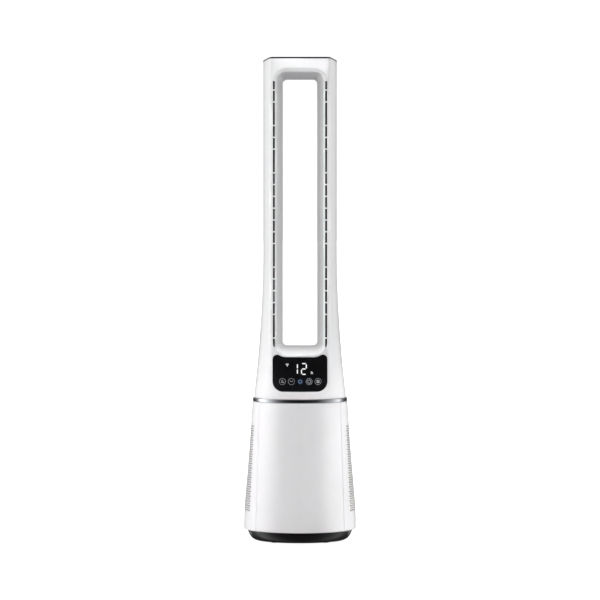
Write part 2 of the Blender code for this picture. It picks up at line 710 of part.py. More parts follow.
def electronics():
    """The power board in the tray, and the harness that goes up to the motors."""
    plate = ((-0.045, -0.045, 0.006), (0.045, 0.045, 0.008))
    board = add_part(boxes("power_board", [plate]), "circuit_board")
    corners = [(x, y) for x in (-0.04, 0.04) for y in (-0.04, 0.04)]
    legs = [((x - 0.003, y - 0.003, 0.0003), (x + 0.003, y + 0.003, 0.007)) for x, y in corners]
    transformer = ((-0.034, -0.03, 0.007), (-0.006, 0, 0.0175))
    capacitor = ((0.008, -0.034, 0.007), (0.03, -0.01, 0.015))
    heat_sink = ((-0.02, 0.012, 0.007), (0.02, 0.03, 0.016))
    join(board, boxes("join_board_blocks", [*legs, transformer, capacitor, heat_sink]))
    rise = [(20, 98, 28.3), (20, 99, 60), (20, 99, 120), (20, 99, 184)]
    add_part(cable("motor_harness", rise, 2), "rubber")


# ---------------------------------------------------------------- filter


def pleat_outline(outer, depth):
    """A zigzag ring of (x, y) points between the outer radius and the depth inside it."""
    points = []
    for i in range(2 * PLEATS):
        points.append(on_circle((outer - depth * (i % 2)) * MM, 180 * i / PLEATS))
    return points


def air_filter():
    bottom = [(0, 31), (82, 31), (82, 38), (84, 38), (84, 28.4), (0, 28.4)]
    add_part(turned("filter_bottom_frame", bottom, 32), "white_satin")
    top = [(84, 184), (84, 174), (82, 174), (82, 181), (60.5, 181), (60.5, 184)]
    add_part(turned("filter_top_frame", top, 32), "white_satin")
    sleeve = [(83.6, 173.7), (83.6, 38.3), (82.4, 38.3), (82.4, 173.7)]
    add_part(turned("prefilter_sleeve", sleeve, 32), "fabric")
    core = [(63, 180.7), (63, 31.3), (62, 31.3), (62, 180.7)]
    add_part(turned("filter_core", core), "grey_plastic")
    rings = []
    for outer in (81.3, 79.7):
        outline = pleat_outline(outer, 15)
        rings.append([(x, y, 31.3 * MM) for x, y in outline])
        rings.append([(x, y, 180.7 * MM) for x, y in outline])
    rings[2], rings[3] = rings[3], rings[2]
    add_part(loft("filter_pleats", rings, closed=True, smooth_degrees=None), "filter_paper")
    tab = [(-0.008, -0.0858, 0.16), (0.008, -0.0848, 0.182)]
    add_part(boxes("filter_pull_tab", [tab]), "fabric")


# ---------------------------------------------------------------- blower


def impeller():
    """A centrifugal wheel: a disc and hub over backward-leaning blades."""
    disc = [(0, 229), (88, 229), (88, 227), (14, 225), (9, 205), (0, 205)]
    wheel = add_part(turned("impeller", disc, 24), "grey_plastic")
    bm = bmesh.new()
    for blade in range(IMPELLER_BLADES):
        place = Matrix.Rotation(2 * math.pi * blade / IMPELLER_BLADES, 4, "Z")
        place = place @ Matrix.Translation((0.055, 0, 0.2155)) @ Matrix.Rotation(math.radians(-32), 4, "Z")
        bmesh.ops.create_cube(bm, size=1, matrix=place @ Matrix.Diagonal((0.06, 0.0016, 0.024, 1)))
    join(wheel, mesh_object("join_blades", bm))
    cut(wheel, rods("cut_shaft_bore", [((0, 0, 0.2), (0, 0, 0.235))], SHAFT_RADIUS + GAP))


def motor():
    shaft = ((0, 0, 0.207), (0, 0, 0.26))
    add_part(rods("motor_shaft", [shaft], SHAFT_RADIUS), "steel")
    stator = [(26, 254), (26, 240), (8.5, 240), (8.5, 254)]
    add_part(turned("motor_stator", stator), "copper")
    rotor = [(31, 256), (31, 235), (2.9, 235), (2.9, 237.5), (27, 237.5), (27, 256)]
    add_part(turned("motor_rotor", rotor), "steel")
    for name, low in (("lower_bearing", 240), ("upper_bearing", 250)):
        race = [(8.1, low + 4), (8.1, low), (2.9, low), (2.9, low + 4)]
        add_part(turned(name, race, 20), "steel")


def diffuser():
    """The motor's cup, with straightening vanes out to a ring inside the shroud."""
    cup = [(0, 266), (40, 266), (40, 236), (37, 236), (37, 263), (0, 263)]
    pod = add_part(turned("diffuser", cup), "grey_plastic")
    join(pod, turned("join_vane_ring", [(85, 250), (85, 240), (83, 240), (83, 250)]))
    bm = bmesh.new()
    for vane in range(DIFFUSER_VANES):
        place = Matrix.Rotation(2 * math.pi * vane / DIFFUSER_VANES, 4, "Z")
        place = place @ Matrix.Translation((0.0615, 0, 0.245))
        bmesh.ops.create_cube(bm, size=1, matrix=place @ Matrix.Diagonal((0.0455, 0.0018, 0.01, 1)))
    join(pod, mesh_object("join_vanes", bm))


def blower():
    deck = [(111.8, 190), (111.8, 186.5), (62, 186.5)]
    mouth = [(57, 190.5), (57, 198), (59, 198), (59, 191.5), (62, 190)]
    add_part(turned("intake_deck", deck + mouth, 32), "grey_plastic")
    outside = [(66, 286), (66, 276), (68, 270), (86, 256), (98, 245), (104, 232), (104, 190.3)]
    inside = [(101.5, 190.3), (101.5, 232), (96, 243), (84, 254), (66, 268.5), (64, 276), (64, 286)]
    add_part(turned("blower_shroud", outside + inside, 24), "grey_plastic")
    seal = [(66, 290.7), (66, 286.3), (60.5, 286.3), (60.5, 290.7)]
    add_part(turned("duct_seal", seal), "rubber")
    for number, degrees in enumerate(DECK_POST_ANGLES, 1):
        x, y = on_circle(DECK_POST_CIRCLE, degrees)
        post = ((x, y, 0.0283), (x, y, 0.1862))
        add_part(rods(f"deck_post_{number}", [post], 4 * MM, 12), "grey_plastic")
    impeller()
    motor()
    diffuser()


head_shells()
display()
swivel()
base_shell()
base_tray()
electronics()
air_filter()
blower()
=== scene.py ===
"""Looks of the bladeless tower fan: fine meshes, materials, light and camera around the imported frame.

Everything is in metres, in the frame's own axes. The front faces -Y and +Z is up. Short profiles are in
millimetres.
"""

import json
import math

import bmesh
import bpy
import numpy as np
from mathutils import Matrix, Vector


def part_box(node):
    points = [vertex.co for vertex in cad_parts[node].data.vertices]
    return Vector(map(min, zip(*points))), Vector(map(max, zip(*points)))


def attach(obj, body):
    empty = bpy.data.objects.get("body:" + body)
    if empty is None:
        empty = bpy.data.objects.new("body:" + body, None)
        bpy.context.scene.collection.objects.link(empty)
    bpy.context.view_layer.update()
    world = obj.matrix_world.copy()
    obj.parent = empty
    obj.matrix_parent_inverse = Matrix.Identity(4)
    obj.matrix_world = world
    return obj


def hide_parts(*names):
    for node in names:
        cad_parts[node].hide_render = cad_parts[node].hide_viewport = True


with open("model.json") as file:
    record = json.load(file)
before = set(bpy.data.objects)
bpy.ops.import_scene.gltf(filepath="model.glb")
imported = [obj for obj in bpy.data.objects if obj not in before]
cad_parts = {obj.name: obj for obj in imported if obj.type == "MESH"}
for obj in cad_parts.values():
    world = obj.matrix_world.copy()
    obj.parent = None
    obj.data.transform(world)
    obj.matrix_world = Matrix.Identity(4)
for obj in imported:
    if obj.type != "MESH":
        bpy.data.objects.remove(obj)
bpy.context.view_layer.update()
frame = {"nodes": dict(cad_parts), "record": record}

MM = 0.001
GAP = 0.3 * MM
WALL = 2.5 * MM
LIFT = 6 * MM  # the heights below are measured from the tray's inner floor, this far above the ground

# ---- sizes read from the frame


def low(node):
    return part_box(node)[0] - Vector((0, 0, LIFT))


def high(node):
    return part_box(node)[1] - Vector((0, 0, LIFT))


HEIGHT = high("top_cap").z
CAP_THICKNESS = 3 * MM
CAP_SLOPE = 0.09
BASE_RADIUS = high("rear_housing").x
SKIRT_TOP = high("rear_housing").z
SKIRT_BOTTOM = low("rear_housing").z
SKIRT_UPRIGHT = 84 * MM
BASE_TOP_RADIUS = 106.8 * MM
CONE_FOOT_RADIUS = 124 * MM
CONE_HOLLOW = 0.8 * MM
NECK_BOTTOM = low("head_front_shell").z
NECK_RADIUS = 103.5 * MM
FLARE_TOP = 660 * MM
HEAD_HALF_WIDTH = 83 * MM
HEAD_HALF_DEPTH = 62 * MM
PARTING_Y = -8 * MM
SHELL_TOP_DROP = CAP_THICKNESS + GAP
SHELL_FILLET = 1.4 * MM
CUT_FRONT = (-150 * MM, -30 * MM)  # from where to where cutters pass through the front wall

# Window through the head: half width, bottom, top and corner radius at each depth
FRONT_WINDOW = (60.4 * MM, 412.5 * MM, 1055.9 * MM, 30 * MM)
LIP_WINDOW = (52.5 * MM, 419.5 * MM, 1047 * MM, 21 * MM)
THROAT_WINDOW = (38.6 * MM, 433 * MM, 1031.7 * MM, 10 * MM)
BACK_WINDOW = (41.5 * MM, 430 * MM, 1034.6 * MM, 13 * MM)
THROAT_Y = 30 * MM
LIP_RECESS = 0.8 * MM
LIP_DEPTH = 5.3 * MM

SLOT_INNER_X = 56.2 * MM
SLOT_OUTER_X = 60.4 * MM
SLOT_TOP = 1026 * MM
SLOT_BOTTOM = 432.5 * MM
BRIDGE_TOP = 1005.9 * MM
BRIDGE_PITCH = 26.34 * MM
BRIDGE_WIDTH = 2.7 * MM
BRIDGE_COUNT = 22
BRIDGES_LEFT_OUT = (2, 6, 14, 20)
SLOT_END_RADIUS = 0.9 * MM
# A slot channel's section as (x, depth behind the front surface) in mm: a trough that is open to the front,
# whose black is painted shade
SLOT_SHADE_TROUGH = (
    (55.2, 4.1), (55.2, 7.0), (64.0, 7.0), (64.0, 2.9), (62.8, 2.9), (62.8, 5.8), (56.4, 5.8), (56.4, 4.1),
)

LENS_HALF_WIDTH = 61 * MM
LENS_BOTTOM = 334 * MM
LENS_EAR_TOP = 415.8 * MM
LENS_EAR_RADIUS = 10 * MM
LENS_FOOT_RADIUS = 23 * MM

SEAM_BOTTOM_X = 99.2 * MM
SEAM_TOP_X = 90.4 * MM


# ---- small maths


def mix(start, end, share):
    return start + (end - start) * share


def smooth(share):
    share = min(1, max(0, share))
    return share * share * (3 - 2 * share)


def around(centre, radius, degrees):
    """The point at an angle on a circle."""
    turn = math.radians(degrees)
    return centre[0] + radius * math.cos(turn), centre[1] + radius * math.sin(turn)


def arc(centre, radius, start, end, count):
    """Points on an arc, with angles in degrees."""
    return [around(centre, radius, start + (end - start) * i / (count - 1)) for i in range(count)]


def mirrored(right):
    return right + [(-x, z) for x, z in reversed(right)]


def grow(outline, distance):
    """Moves each point of an anticlockwise outline outwards along its normal."""
    grown = []
    for i, point in enumerate(outline):
        before = Vector(outline[i - 1])
        after = Vector(outline[(i + 1) % len(outline)])
        along = (after - before).normalized()
        grown.append((point[0] + along.y * distance, point[1] - along.x * distance))
    return grown


# ---- materials


class Tree:
    """Short calls for a node tree."""

    def __init__(self, owner):
        owner.use_nodes = True
        self.tree = owner.node_tree

    def add(self, kind, **values):
        """Adds a node, and sets its inputs or settings."""
        node = self.tree.nodes.new(kind)
        for key, value in values.items():
            socket = key.replace("_", " ")
            if socket in node.inputs.keys():
                node.inputs[socket].default_value = value
            else:
                setattr(node, key, value)
        return node

    def link(self, output, to):
        self.tree.links.new(output, to)


class Nodes(Tree):
    """A Principled material."""

    def __init__(self, name, colour, roughness, metallic=0.0, **sockets):
        self.material = bpy.data.materials.new(name)
        super().__init__(self.material)
        self.shader = self.tree.nodes["Principled BSDF"]
        self.set("Base Color", (*colour, 1))
        self.set("Roughness", roughness)
        self.set("Metallic", metallic)
        for socket, value in sockets.items():
            self.set(socket.replace("_", " "), value)

    def set(self, socket, value):
        self.shader.inputs[socket].default_value = value

    def place(self):
        return self.add("ShaderNodeTexCoord").outputs["Object"]

    def noise(self, scale, detail=3.0, stretch=(1, 1, 1)):
        mapping = self.add("ShaderNodeMapping")
        mapping.inputs["Scale"].default_value = stretch
        self.link(self.place(), mapping.inputs["Vector"])
        noise = self.add("ShaderNodeTexNoise", Scale=scale, Detail=detail)
        self.link(mapping.outputs["Vector"], noise.inputs["Vector"])
        return noise.outputs["Fac"]

    def paint(self, value, first, second):
        """Blends the base colour from the first where the value is 0 to the second where it is 1."""
        blend = self.add("ShaderNodeMix", data_type="RGBA")
        blend.inputs["A"].default_value = (*first, 1)
        blend.inputs["B"].default_value = (*second, 1)
        self.link(value, blend.inputs["Factor"])
        self.link(blend.outputs["Result"], self.shader.inputs["Base Color"])

    def bump(self, height, strength, distance):
        bump = self.add("ShaderNodeBump", Strength=strength, Distance=distance)
        self.link(height, bump.inputs["Height"])
        self.link(bump.outputs["Normal"], self.shader.inputs["Normal"])

    def rough(self, value, lowest, highest):
        """Varies the roughness with a noise, most of which lies between 0.3 and 0.7."""
        spread = self.add("ShaderNodeMapRange", From_Min=0.3, From_Max=0.7, To_Min=lowest, To_Max=highest)
        self.link(value, spread.inputs["Value"])
        self.link(spread.outputs["Result"], self.shader.inputs["Roughness"])


def plastic(name, colour, roughness, grain, strength, tint=0.985, **sockets):
    """Moulded plastic: a faint orange-peel skin, and slight changes of tone and gloss."""
    nodes = Nodes(name, colour, roughness, **sockets)
    darker = tuple(c * tint for c in colour)
    nodes.paint(nodes.noise(7), colour, darker)
    nodes.rough(nodes.noise(35), roughness * 0.92, roughness * 1.08)
    nodes.bump(nodes.noise(grain, 2), strength, 0.0002)
    return nodes.material


BLACK = (0.006, 0.006, 0.007)
BOARD_GREEN = (0.01, 0.10, 0.035)

# Moulded plastics: colour, roughness, scale and depth of the grain
PLASTICS = {
    "white_gloss": ((0.87, 0.87, 0.88), 0.24, 1400, 0.03),
    "white_liner": ((0.85, 0.85, 0.86), 0.34, 1600, 0.04),
    "white_satin": ((0.80, 0.80, 0.81), 0.42, 1800, 0.08),
    "black_gloss": (BLACK, 0.09, 900, 0.006),
    "black_satin": (BLACK, 0.17, 2600, 0.05),
    # painted shade: this black stands for the shadow in the slot channels and behind the vent holes
    "shade_black": (BLACK, 0.75, 2600, 0.10),
    "rubber": ((0.02, 0.02, 0.02), 0.78, 2200, 0.35),
    "grey_plastic": ((0.16, 0.165, 0.175), 0.5, 2200, 0.15),
    "acetal": ((0.72, 0.71, 0.66), 0.4, 1800, 0.06),
}
PLASTIC_SOCKETS = {
    "white_gloss": {"Coat_Weight": 0.35, "Coat_Roughness": 0.08},
    "black_gloss": {"Specular_IOR_Level": 0.55},
    "black_satin": {"Specular_IOR_Level": 0.3},
}


def make_materials():
    made = {}
    for name, values in PLASTICS.items():
        made[name] = plastic(name, *values, **PLASTIC_SOCKETS.get(name, {}))
    chrome = Nodes("chrome", (0.62, 0.63, 0.65), 0.06, 1.0)
    chrome.rough(chrome.noise(60), 0.05, 0.075)
    chrome.bump(chrome.noise(500, 2), 0.01, 0.0001)
    steel = Nodes("steel", (0.55, 0.55, 0.54), 0.3, 1.0)
    steel.rough(steel.noise(300, 4, (1, 1, 8)), 0.22, 0.4)
    steel.bump(steel.noise(1500, 3, (1, 1, 6)), 0.08, 0.0001)
    copper = Nodes("copper", (0.50, 0.20, 0.08), 0.3, 1.0)
    wire = copper.add("ShaderNodeTexWave", Scale=550.0, bands_direction="Z")
    copper.link(copper.place(), wire.inputs["Vector"])
    copper.bump(wire.outputs["Fac"], 0.8, 0.0003)
    board = Nodes("circuit_board", BOARD_GREEN, 0.35)
    cells = board.add("ShaderNodeTexBrick", Scale=160.0, Mortar_Size=0.03)
    colours = {"Color1": BOARD_GREEN, "Color2": (0.012, 0.12, 0.045), "Mortar": (0.02, 0.19, 0.08)}
    for socket, colour in colours.items():
        cells.inputs[socket].default_value = (*colour, 1)
    board.link(board.place(), cells.inputs["Vector"])
    board.link(cells.outputs["Color"], board.shader.inputs["Base Color"])
    paper = Nodes("filter_paper", (0.84, 0.84, 0.80), 0.95)
    paper.paint(paper.noise(900, 6), (0.86, 0.86, 0.82), (0.76, 0.76, 0.72))
    paper.bump(paper.noise(2500, 4), 0.5, 0.0003)
    for name, nodes in (
        ("chrome", chrome),
        ("steel", steel),
        ("copper", copper),
        ("circuit_board", board),
        ("filter_paper", paper),
    ):
        made[name] = nodes.material
    made["fabric"] = woven("fabric", (0.055, 0.075, 0.10), (0.16, 0.20, 0.25))
    made["tape"] = woven("tape", (0.06, 0.16, 0.34), (0.10, 0.24, 0.46))
    for name, colour, strength in (
        ("led_white", (1.0, 1.0, 1.0), 1.0),
        ("led_dim", (0.9, 0.93, 1.0), 0.30),
        ("led_blue", (0.45, 0.68, 1.0), 0.4),
        ("led_halo", (0.10, 0.22, 0.5), 0.10),
    ):
        made[name] = glow(name, colour, strength)
    return made


def woven(name, dark, pale):
    """Two sets of threads, drawn by waves along the object's axes."""
    nodes = Nodes(name, pale, 0.9, Sheen_Weight=0.3)
    waves = []
    for direction in ("X", "Z"):
        wave = nodes.add("ShaderNodeTexWave", Scale=420.0, bands_direction=direction)
        nodes.link(nodes.place(), wave.inputs["Vector"])
        waves.append(wave.outputs["Fac"])
    both = nodes.add("ShaderNodeMath", operation="MULTIPLY")
    nodes.link(waves[0], both.inputs[0])
    nodes.link(waves[1], both.inputs[1])
    nodes.paint(both.outputs[0], pale, dark)
    nodes.bump(both.outputs[0], 0.6, 0.0003)
    return nodes.material


def glow(name, colour, strength):
    nodes = Nodes(name, tuple(c * 0.05 for c in colour), 0.4)
    nodes.set("Emission Color", (*colour, 1))
    nodes.set("Emission Strength", strength)
    return nodes.material


MATERIALS = make_materials()


# ---- ways of making pieces


def new_object(name, mesh):
    obj = bpy.data.objects.new(name, mesh)
    bpy.context.scene.collection.objects.link(obj)
    return obj


def finish_piece(obj, body, material, *nodes, slot=None):
    """Gives a piece its material, its body and the CAD nodes that it stands for, which it hides. The slot
    argument is not used.
    """
    obj.data.transform(Matrix.Translation((0, 0, LIFT)))
    obj.data.materials.clear()
    obj.data.materials.append(MATERIALS[material])
    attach(obj, body)
    if nodes:
        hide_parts(*nodes)


def smoothed(mesh, sharp_degrees=35):
    mesh.shade_smooth()
    mesh.set_sharp_from_angle(angle=math.radians(sharp_degrees))


def from_bmesh(name, bm):
    mesh = bpy.data.meshes.new(name)
    bm.to_mesh(mesh)
    bm.free()
    return new_object(name, mesh)


def mesh_object(name, vertices, faces, sharp_degrees=35):
    mesh = bpy.data.meshes.new(name)
    mesh.from_pydata([tuple(v) for v in vertices], [], faces)
    mesh.validate()
    smoothed(mesh, sharp_degrees)
    return new_object(name, mesh)


def ring_faces(rows, columns, closed_rows=False, caps=False):
    """Quads over a grid whose columns wrap round, as indices."""
    faces = []
    last = rows if closed_rows else rows - 1
    for r in range(last):
        s = (r + 1) % rows
        for c in range(columns):
            d = (c + 1) % columns
            faces.append((r * columns + c, r * columns + d, s * columns + d, s * columns + c))
    if caps:
        faces.append(tuple(reversed(range(columns))))
        faces.append(tuple((rows - 1) * columns + c for c in range(columns)))
    return faces


def loft(name, rings, closed=False, sharp_degrees=35):
    """Joins rings of equal length, capped at both ends or closed on itself."""
    count = len(rings[0])
    vertices = [point for ring in rings for point in ring]
    obj = mesh_object(name, vertices, ring_faces(len(rings), count, closed, not closed), sharp_degrees)
    outwards(obj.data, sharp_degrees)
    return obj


def outwards(mesh, sharp_degrees=35):
    bm = bmesh.new()
    bm.from_mesh(mesh)
    bmesh.ops.recalc_face_normals(bm, faces=bm.faces)
    bm.to_mesh(mesh)
    bm.free()
    smoothed(mesh, sharp_degrees)


def applied(obj):
    """The object with its modifiers applied."""
    graph = bpy.context.evaluated_depsgraph_get()
    graph.update()
    mesh = bpy.data.meshes.new_from_object(obj.evaluated_get(graph))
    obj.modifiers.clear()
    obj.data = mesh
    return obj


def boolean(obj, other, operation="DIFFERENCE"):
    modifier = obj.modifiers.new("boolean", "BOOLEAN")
    modifier.operation = operation
    modifier.object = other
    modifier.solver = "EXACT"
    applied(obj)
    bpy.data.objects.remove(other)
    return obj


def lathe(name, profile, segments=128, sharp_degrees=35, centre=(0, 0)):
    """Turns a closed profile of (radius, height) points in mm about Z. A point on the axis is one vertex."""
    vertices, rows = [], []
    for radius, height in profile:
        if radius == 0:
            rows.append([len(vertices)] * segments)
            vertices.append((centre[0], centre[1], height * MM))
            continue
        rows.append(list(range(len(vertices), len(vertices) + segments)))
        for i in range(segments):
            angle = 2 * math.pi * i / segments
            x, y = radius * MM * math.cos(angle), radius * MM * math.sin(angle)
            vertices.append((centre[0] + x, centre[1] + y, height * MM))
    faces = []
    for first, second in zip(rows, rows[1:] + rows[:1]):
        for i in range(segments):
            j = (i + 1) % segments
            corners = list(dict.fromkeys((first[i], first[j], second[j], second[i])))
            if len(corners) > 2:
                faces.append(corners)
    obj = mesh_object(name, vertices, faces, sharp_degrees)
    outwards(obj.data, sharp_degrees)
    return obj


def rounded(profile, radius, steps=4):
    """A closed profile with its corners replaced by small arc-like curves. Points on the axis stay."""
    out = []
    count = len(profile)
    for i, point in enumerate(profile):
        here = Vector(point)
        before, after = Vector(profile[i - 1]), Vector(profile[(i + 1) % count])
        if point[0] == 0:
            out.append(tuple(here))
            continue
        reach = min(radius, (before - here).length * 0.45, (after - here).length * 0.45)
        start = here + (before - here).normalized() * reach
        end = here + (after - here).normalized() * reach
        for k in range(steps + 1):
            t = k / steps
            bend = start.lerp(here, t).lerp(here.lerp(end, t), t)
            out.append(tuple(bend))
    return out


def prism_along_y(name, outline, y_low, y_high):
    """An anticlockwise outline of (x, z) points, seen from the front, thickened backwards."""
    bm = bmesh.new()
    bm.faces.new([bm.verts.new((x, y_low, z)) for x, z in outline])
    obj = from_bmesh(name, bm)
    solidify = obj.modifiers.new("thickness", "SOLIDIFY")
    solidify.thickness = y_high - y_low
    solidify.offset = -1
    return applied(obj)


def box(name, lowest, highest):
    lowest, highest = Vector(lowest), Vector(highest)
    place = Matrix.Translation((lowest + highest) / 2) @ Matrix.Diagonal((*(highest - lowest), 1))
    bm = bmesh.new()
    bmesh.ops.create_cube(bm, size=1, matrix=place)
    return from_bmesh(name, bm)


# ---- outer shape of the head

FACE_EDGE = 0.81
SIDE_START = 0.12
EDGE_SHARPNESS = 26
BACK_SHARPNESS = 2.7


def column_reach(angle):
    """Distance from the axis to the column's outline, where its half width and half depth are both 1."""
    across, forward = abs(math.sin(angle)), math.cos(angle)
    if forward < 0:
        return (across**BACK_SHARPNESS + (-forward) ** BACK_SHARPNESS) ** (-1 / BACK_SHARPNESS)
    facet_run, facet_rise = 1 - SIDE_START, 1 - FACE_EDGE
    facet = (facet_run * across + facet_rise * forward) / (facet_run * FACE_EDGE + facet_rise)
    return sum(side**EDGE_SHARPNESS for side in (forward, across, facet)) ** (-1 / EDGE_SHARPNESS)


def half_sizes(z, inset=0.0):
    flare = min(1, max(0, (FLARE_TOP - z) / (FLARE_TOP - NECK_BOTTOM))) ** 2
    half_width = mix(HEAD_HALF_WIDTH, NECK_RADIUS, flare) - inset
    half_depth = mix(HEAD_HALF_DEPTH, NECK_RADIUS, flare) - inset
    return half_width, half_depth, flare


def head_point(angle, z, inset=0.0):
    half_width, half_depth, flare = half_sizes(z, inset)
    reach = mix(column_reach(angle), 1, flare)
    return half_width * reach * math.sin(angle), -half_depth * reach * math.cos(angle)


def section_angles():
    """Angles from the front, closest together at the edge between the front face and the side."""
    face, edge, rest = np.linspace(0, 30, 13), np.linspace(30, 48, 25), np.linspace(48, 180, 50)
    half = np.concatenate([face[:-1], edge[:-1], rest])
    whole = np.concatenate([half, -half[-2:0:-1]])
    return [math.radians(a) for a in whole]


SECTION = section_angles()


def head_ring(z, inset=0.0, top_drop=None):
    """The head's outline at a height, or along the sloping top when a drop below it is given."""
    if top_drop is None:
        return [(*head_point(a, z, inset), z) for a in SECTION]
    points = [head_point(a, HEIGHT, inset) for a in SECTION]
    return [(x, y, top_height(y, top_drop)) for x, y in points]


def top_height(y, below):
    return HEIGHT - below - CAP_SLOPE * (y + HEAD_HALF_DEPTH)


def surface_angle(x, y, z):
    half_width, half_depth, _ = half_sizes(z)
    return math.atan2(x / half_width, -y / half_depth)


def surface_y(x, z, back=False):
    """Depth of the head's front or back surface at a place on it, found by bisection on the angle."""
    first, last = (math.pi, math.pi / 2) if back else (0, math.pi / 2)
    for _ in range(24):
        middle = (first + last) / 2
        if head_point(middle, z)[0] < abs(x):
            first = middle
        else:
            last = middle
    return head_point((first + last) / 2, z)[1]


def surface_normal(angle, z):
    """The outer surface's normal, from its slopes along the angle and the height."""
    step, rise = 0.002, 0.5 * MM
    x0, y0 = head_point(angle - step, z)
    x1, y1 = head_point(angle + step, z)
    along = Vector((x1 - x0, y1 - y0, 0))
    x2, y2 = head_point(angle, z - rise)
    x3, y3 = head_point(angle, z + rise)
    return along.cross(Vector((x3 - x2, y3 - y2, 2 * rise))).normalized()


def smooth_skin(obj):
    """Sets exact normals on the head's outer surface, so that cuts don't disturb reflections."""
    mesh = obj.data
    smoothed(mesh)
    exact = {}
    for vertex in mesh.vertices:
        x, y, z = vertex.co
        angle = surface_angle(x, y, z)
        sx, sy = head_point(angle, z)
        if math.hypot(sx - x, sy - y) < 0.12 * MM:
            exact[vertex.index] = surface_normal(angle, z)
    normals = [Vector(corner.vector) for corner in mesh.corner_normals]
    for face in mesh.polygons:
        for loop in face.loop_indices:
            normal = exact.get(mesh.loops[loop].vertex_index)
            if normal and normal.dot(face.normal) > 0.94:
                normals[loop] = normal
    mesh.normals_split_custom_set(normals)


def head_volume(name, inset, bottom, below_top, fillet=0.0):
    """The closed volume inside the head's outline, with its top edge rounded by the fillet."""
    rise = FLARE_TOP - NECK_BOTTOM
    levels = [bottom + 0.6 * MM] if fillet else []
    levels += [NECK_BOTTOM + rise * (i / 44) ** 1.1 for i in range(1, 45)]
    start = [head_ring(bottom, inset + (0.5 * MM if fillet else 0))]
    rings = start + [head_ring(z, inset) for z in levels]
    steps = 5 if fillet else 1
    for i in range(steps):
        turn = math.pi / 2 * (i / (steps - 1) if fillet else 0)
        sunk = fillet * (1 - math.sin(turn))
        rings.append(head_ring(0, inset + fillet * (1 - math.cos(turn)), below_top + sunk))
    return loft(name, rings)


# ---- head shells and cap

SCREW_HOLE_RADIUS = 4.7 * MM
SCREW_HOLE_DEPTH = 9 * MM


def window_outline(window, growth=0.0, corner_steps=14, side_steps=44):
    """A rectangle of (x, z) points with round corners, anticlockwise from the front, from bottom right."""
    half_width, bottom, top, radius = window
    half_width, bottom, top, radius = half_width + growth, bottom - growth, top + growth, radius + growth
    x, low_z, high_z = half_width - radius, bottom + radius, top - radius
    stops = [(i / side_steps) ** 1.6 for i in range(1, side_steps)]
    side = [(half_width, mix(low_z, high_z, share)) for share in stops]
    return mirrored(
        [
            *[(x * share, bottom) for share in (0.25, 0.5, 0.75)],
            *arc((x, low_z), radius, -90, 0, corner_steps),
            *side,
            *arc((x, high_z), radius, 0, 90, corner_steps),
            *[(x * share, top) for share in (0.75, 0.5, 0.25)],
        ]
    )


def lens_outline(growth=0.0):
    """The display lens: two ears, a dip that follows the window's lower corners, and large round feet."""
    half_width, bottom, _, radius = FRONT_WINDOW
    corner = (half_width - radius, bottom + radius)
    ear = (LENS_HALF_WIDTH - LENS_EAR_RADIUS, LENS_EAR_TOP - LENS_EAR_RADIUS)
    foot = (LENS_HALF_WIDTH - LENS_FOOT_RADIUS, LENS_BOTTOM + LENS_FOOT_RADIUS)
    lean = math.degrees(math.atan2(corner[1] - ear[1], ear[0] - corner[0]))
    dip_radius = math.dist(corner, ear) - LENS_EAR_RADIUS
    feet = arc(foot, LENS_FOOT_RADIUS, -90, 0, 20)
    ears = arc(ear, LENS_EAR_RADIUS, 0, 180 - lean, 18)
    dip = arc(corner, dip_radius, -lean, -90, 10)[1:]
    return grow(mirrored([*feet, *ears, *dip]), growth)


def hollowed(obj):
    """Takes out the inside, a wall's thickness in from the head's outline."""
    return boolean(obj, head_volume("hollow", WALL, NECK_BOTTOM - GAP, SHELL_TOP_DROP + WALL))


def head_shell(name):
    return hollowed(head_volume(name, 0, NECK_BOTTOM, SHELL_TOP_DROP, SHELL_FILLET))


def head_front():
    shell = head_shell("front_shell")
    boolean(shell, box("back_half", (-0.2, PARTING_Y, 0.2), (0.2, 0.2, 1.2)))
    boolean(shell, prism_along_y("front_window", window_outline(FRONT_WINDOW), *CUT_FRONT))
    boolean(shell, prism_along_y("lens_window", lens_outline(GAP), *CUT_FRONT))
    smooth_skin(shell)
    finish_piece(shell, "head", "white_gloss", "head_front_shell")


def head_rear():
    shell = head_shell("rear_shell")
    boolean(shell, box("front_half", (-0.2, -0.2, 0.2), (0.2, PARTING_Y + GAP, 1.2)))
    boolean(shell, prism_along_y("back_window", window_outline(BACK_WINDOW, WALL), 0.03, 0.15))
    for number in range(1, 5):
        lowest, highest = low(f"shell_screw_{number}"), high(f"shell_screw_{number}")
        centre = ((lowest.x + highest.x) / 2, (lowest.z + highest.z) / 2)
        outline = arc(centre, SCREW_HOLE_RADIUS, 0, 360, 33)[:-1]
        boolean(shell, prism_along_y("screw_hole", outline, highest.y - SCREW_HOLE_DEPTH, 0.2))
    smooth_skin(shell)
    finish_piece(shell, "head", "white_gloss", "head_rear_shell")


def cap():
    """The black plate on the sloping top, with a rounded rim."""
    rings = [head_ring(0, 0.7 * MM, CAP_THICKNESS), head_ring(0, 0.3 * MM, CAP_THICKNESS - 0.3 * MM)]
    radius = 1.2 * MM
    for i in range(6):
        turn = math.pi / 2 * i / 5
        rings.append(head_ring(0, 0.2 * MM + radius * (1 - math.cos(turn)), radius * (1 - math.sin(turn))))
    finish_piece(loft("top_plate", rings), "head", "black_gloss", "top_cap")


# ---- window frame


def bottom_weight(z, window):
    """1 along the window's bottom edge, easing to 0 where its sides become straight."""
    _, bottom, _, radius = window
    return smooth((bottom + radius - z) / radius)


LIP_SHARE = 0.3
STATIONS = (
    0.02, 0.06, 0.12, 0.18, 0.24, 0.28, 0.295, 0.305, 0.32, 0.36, 0.45, 0.55, 0.65, 0.75, 0.85, 0.93, 0.98,
)


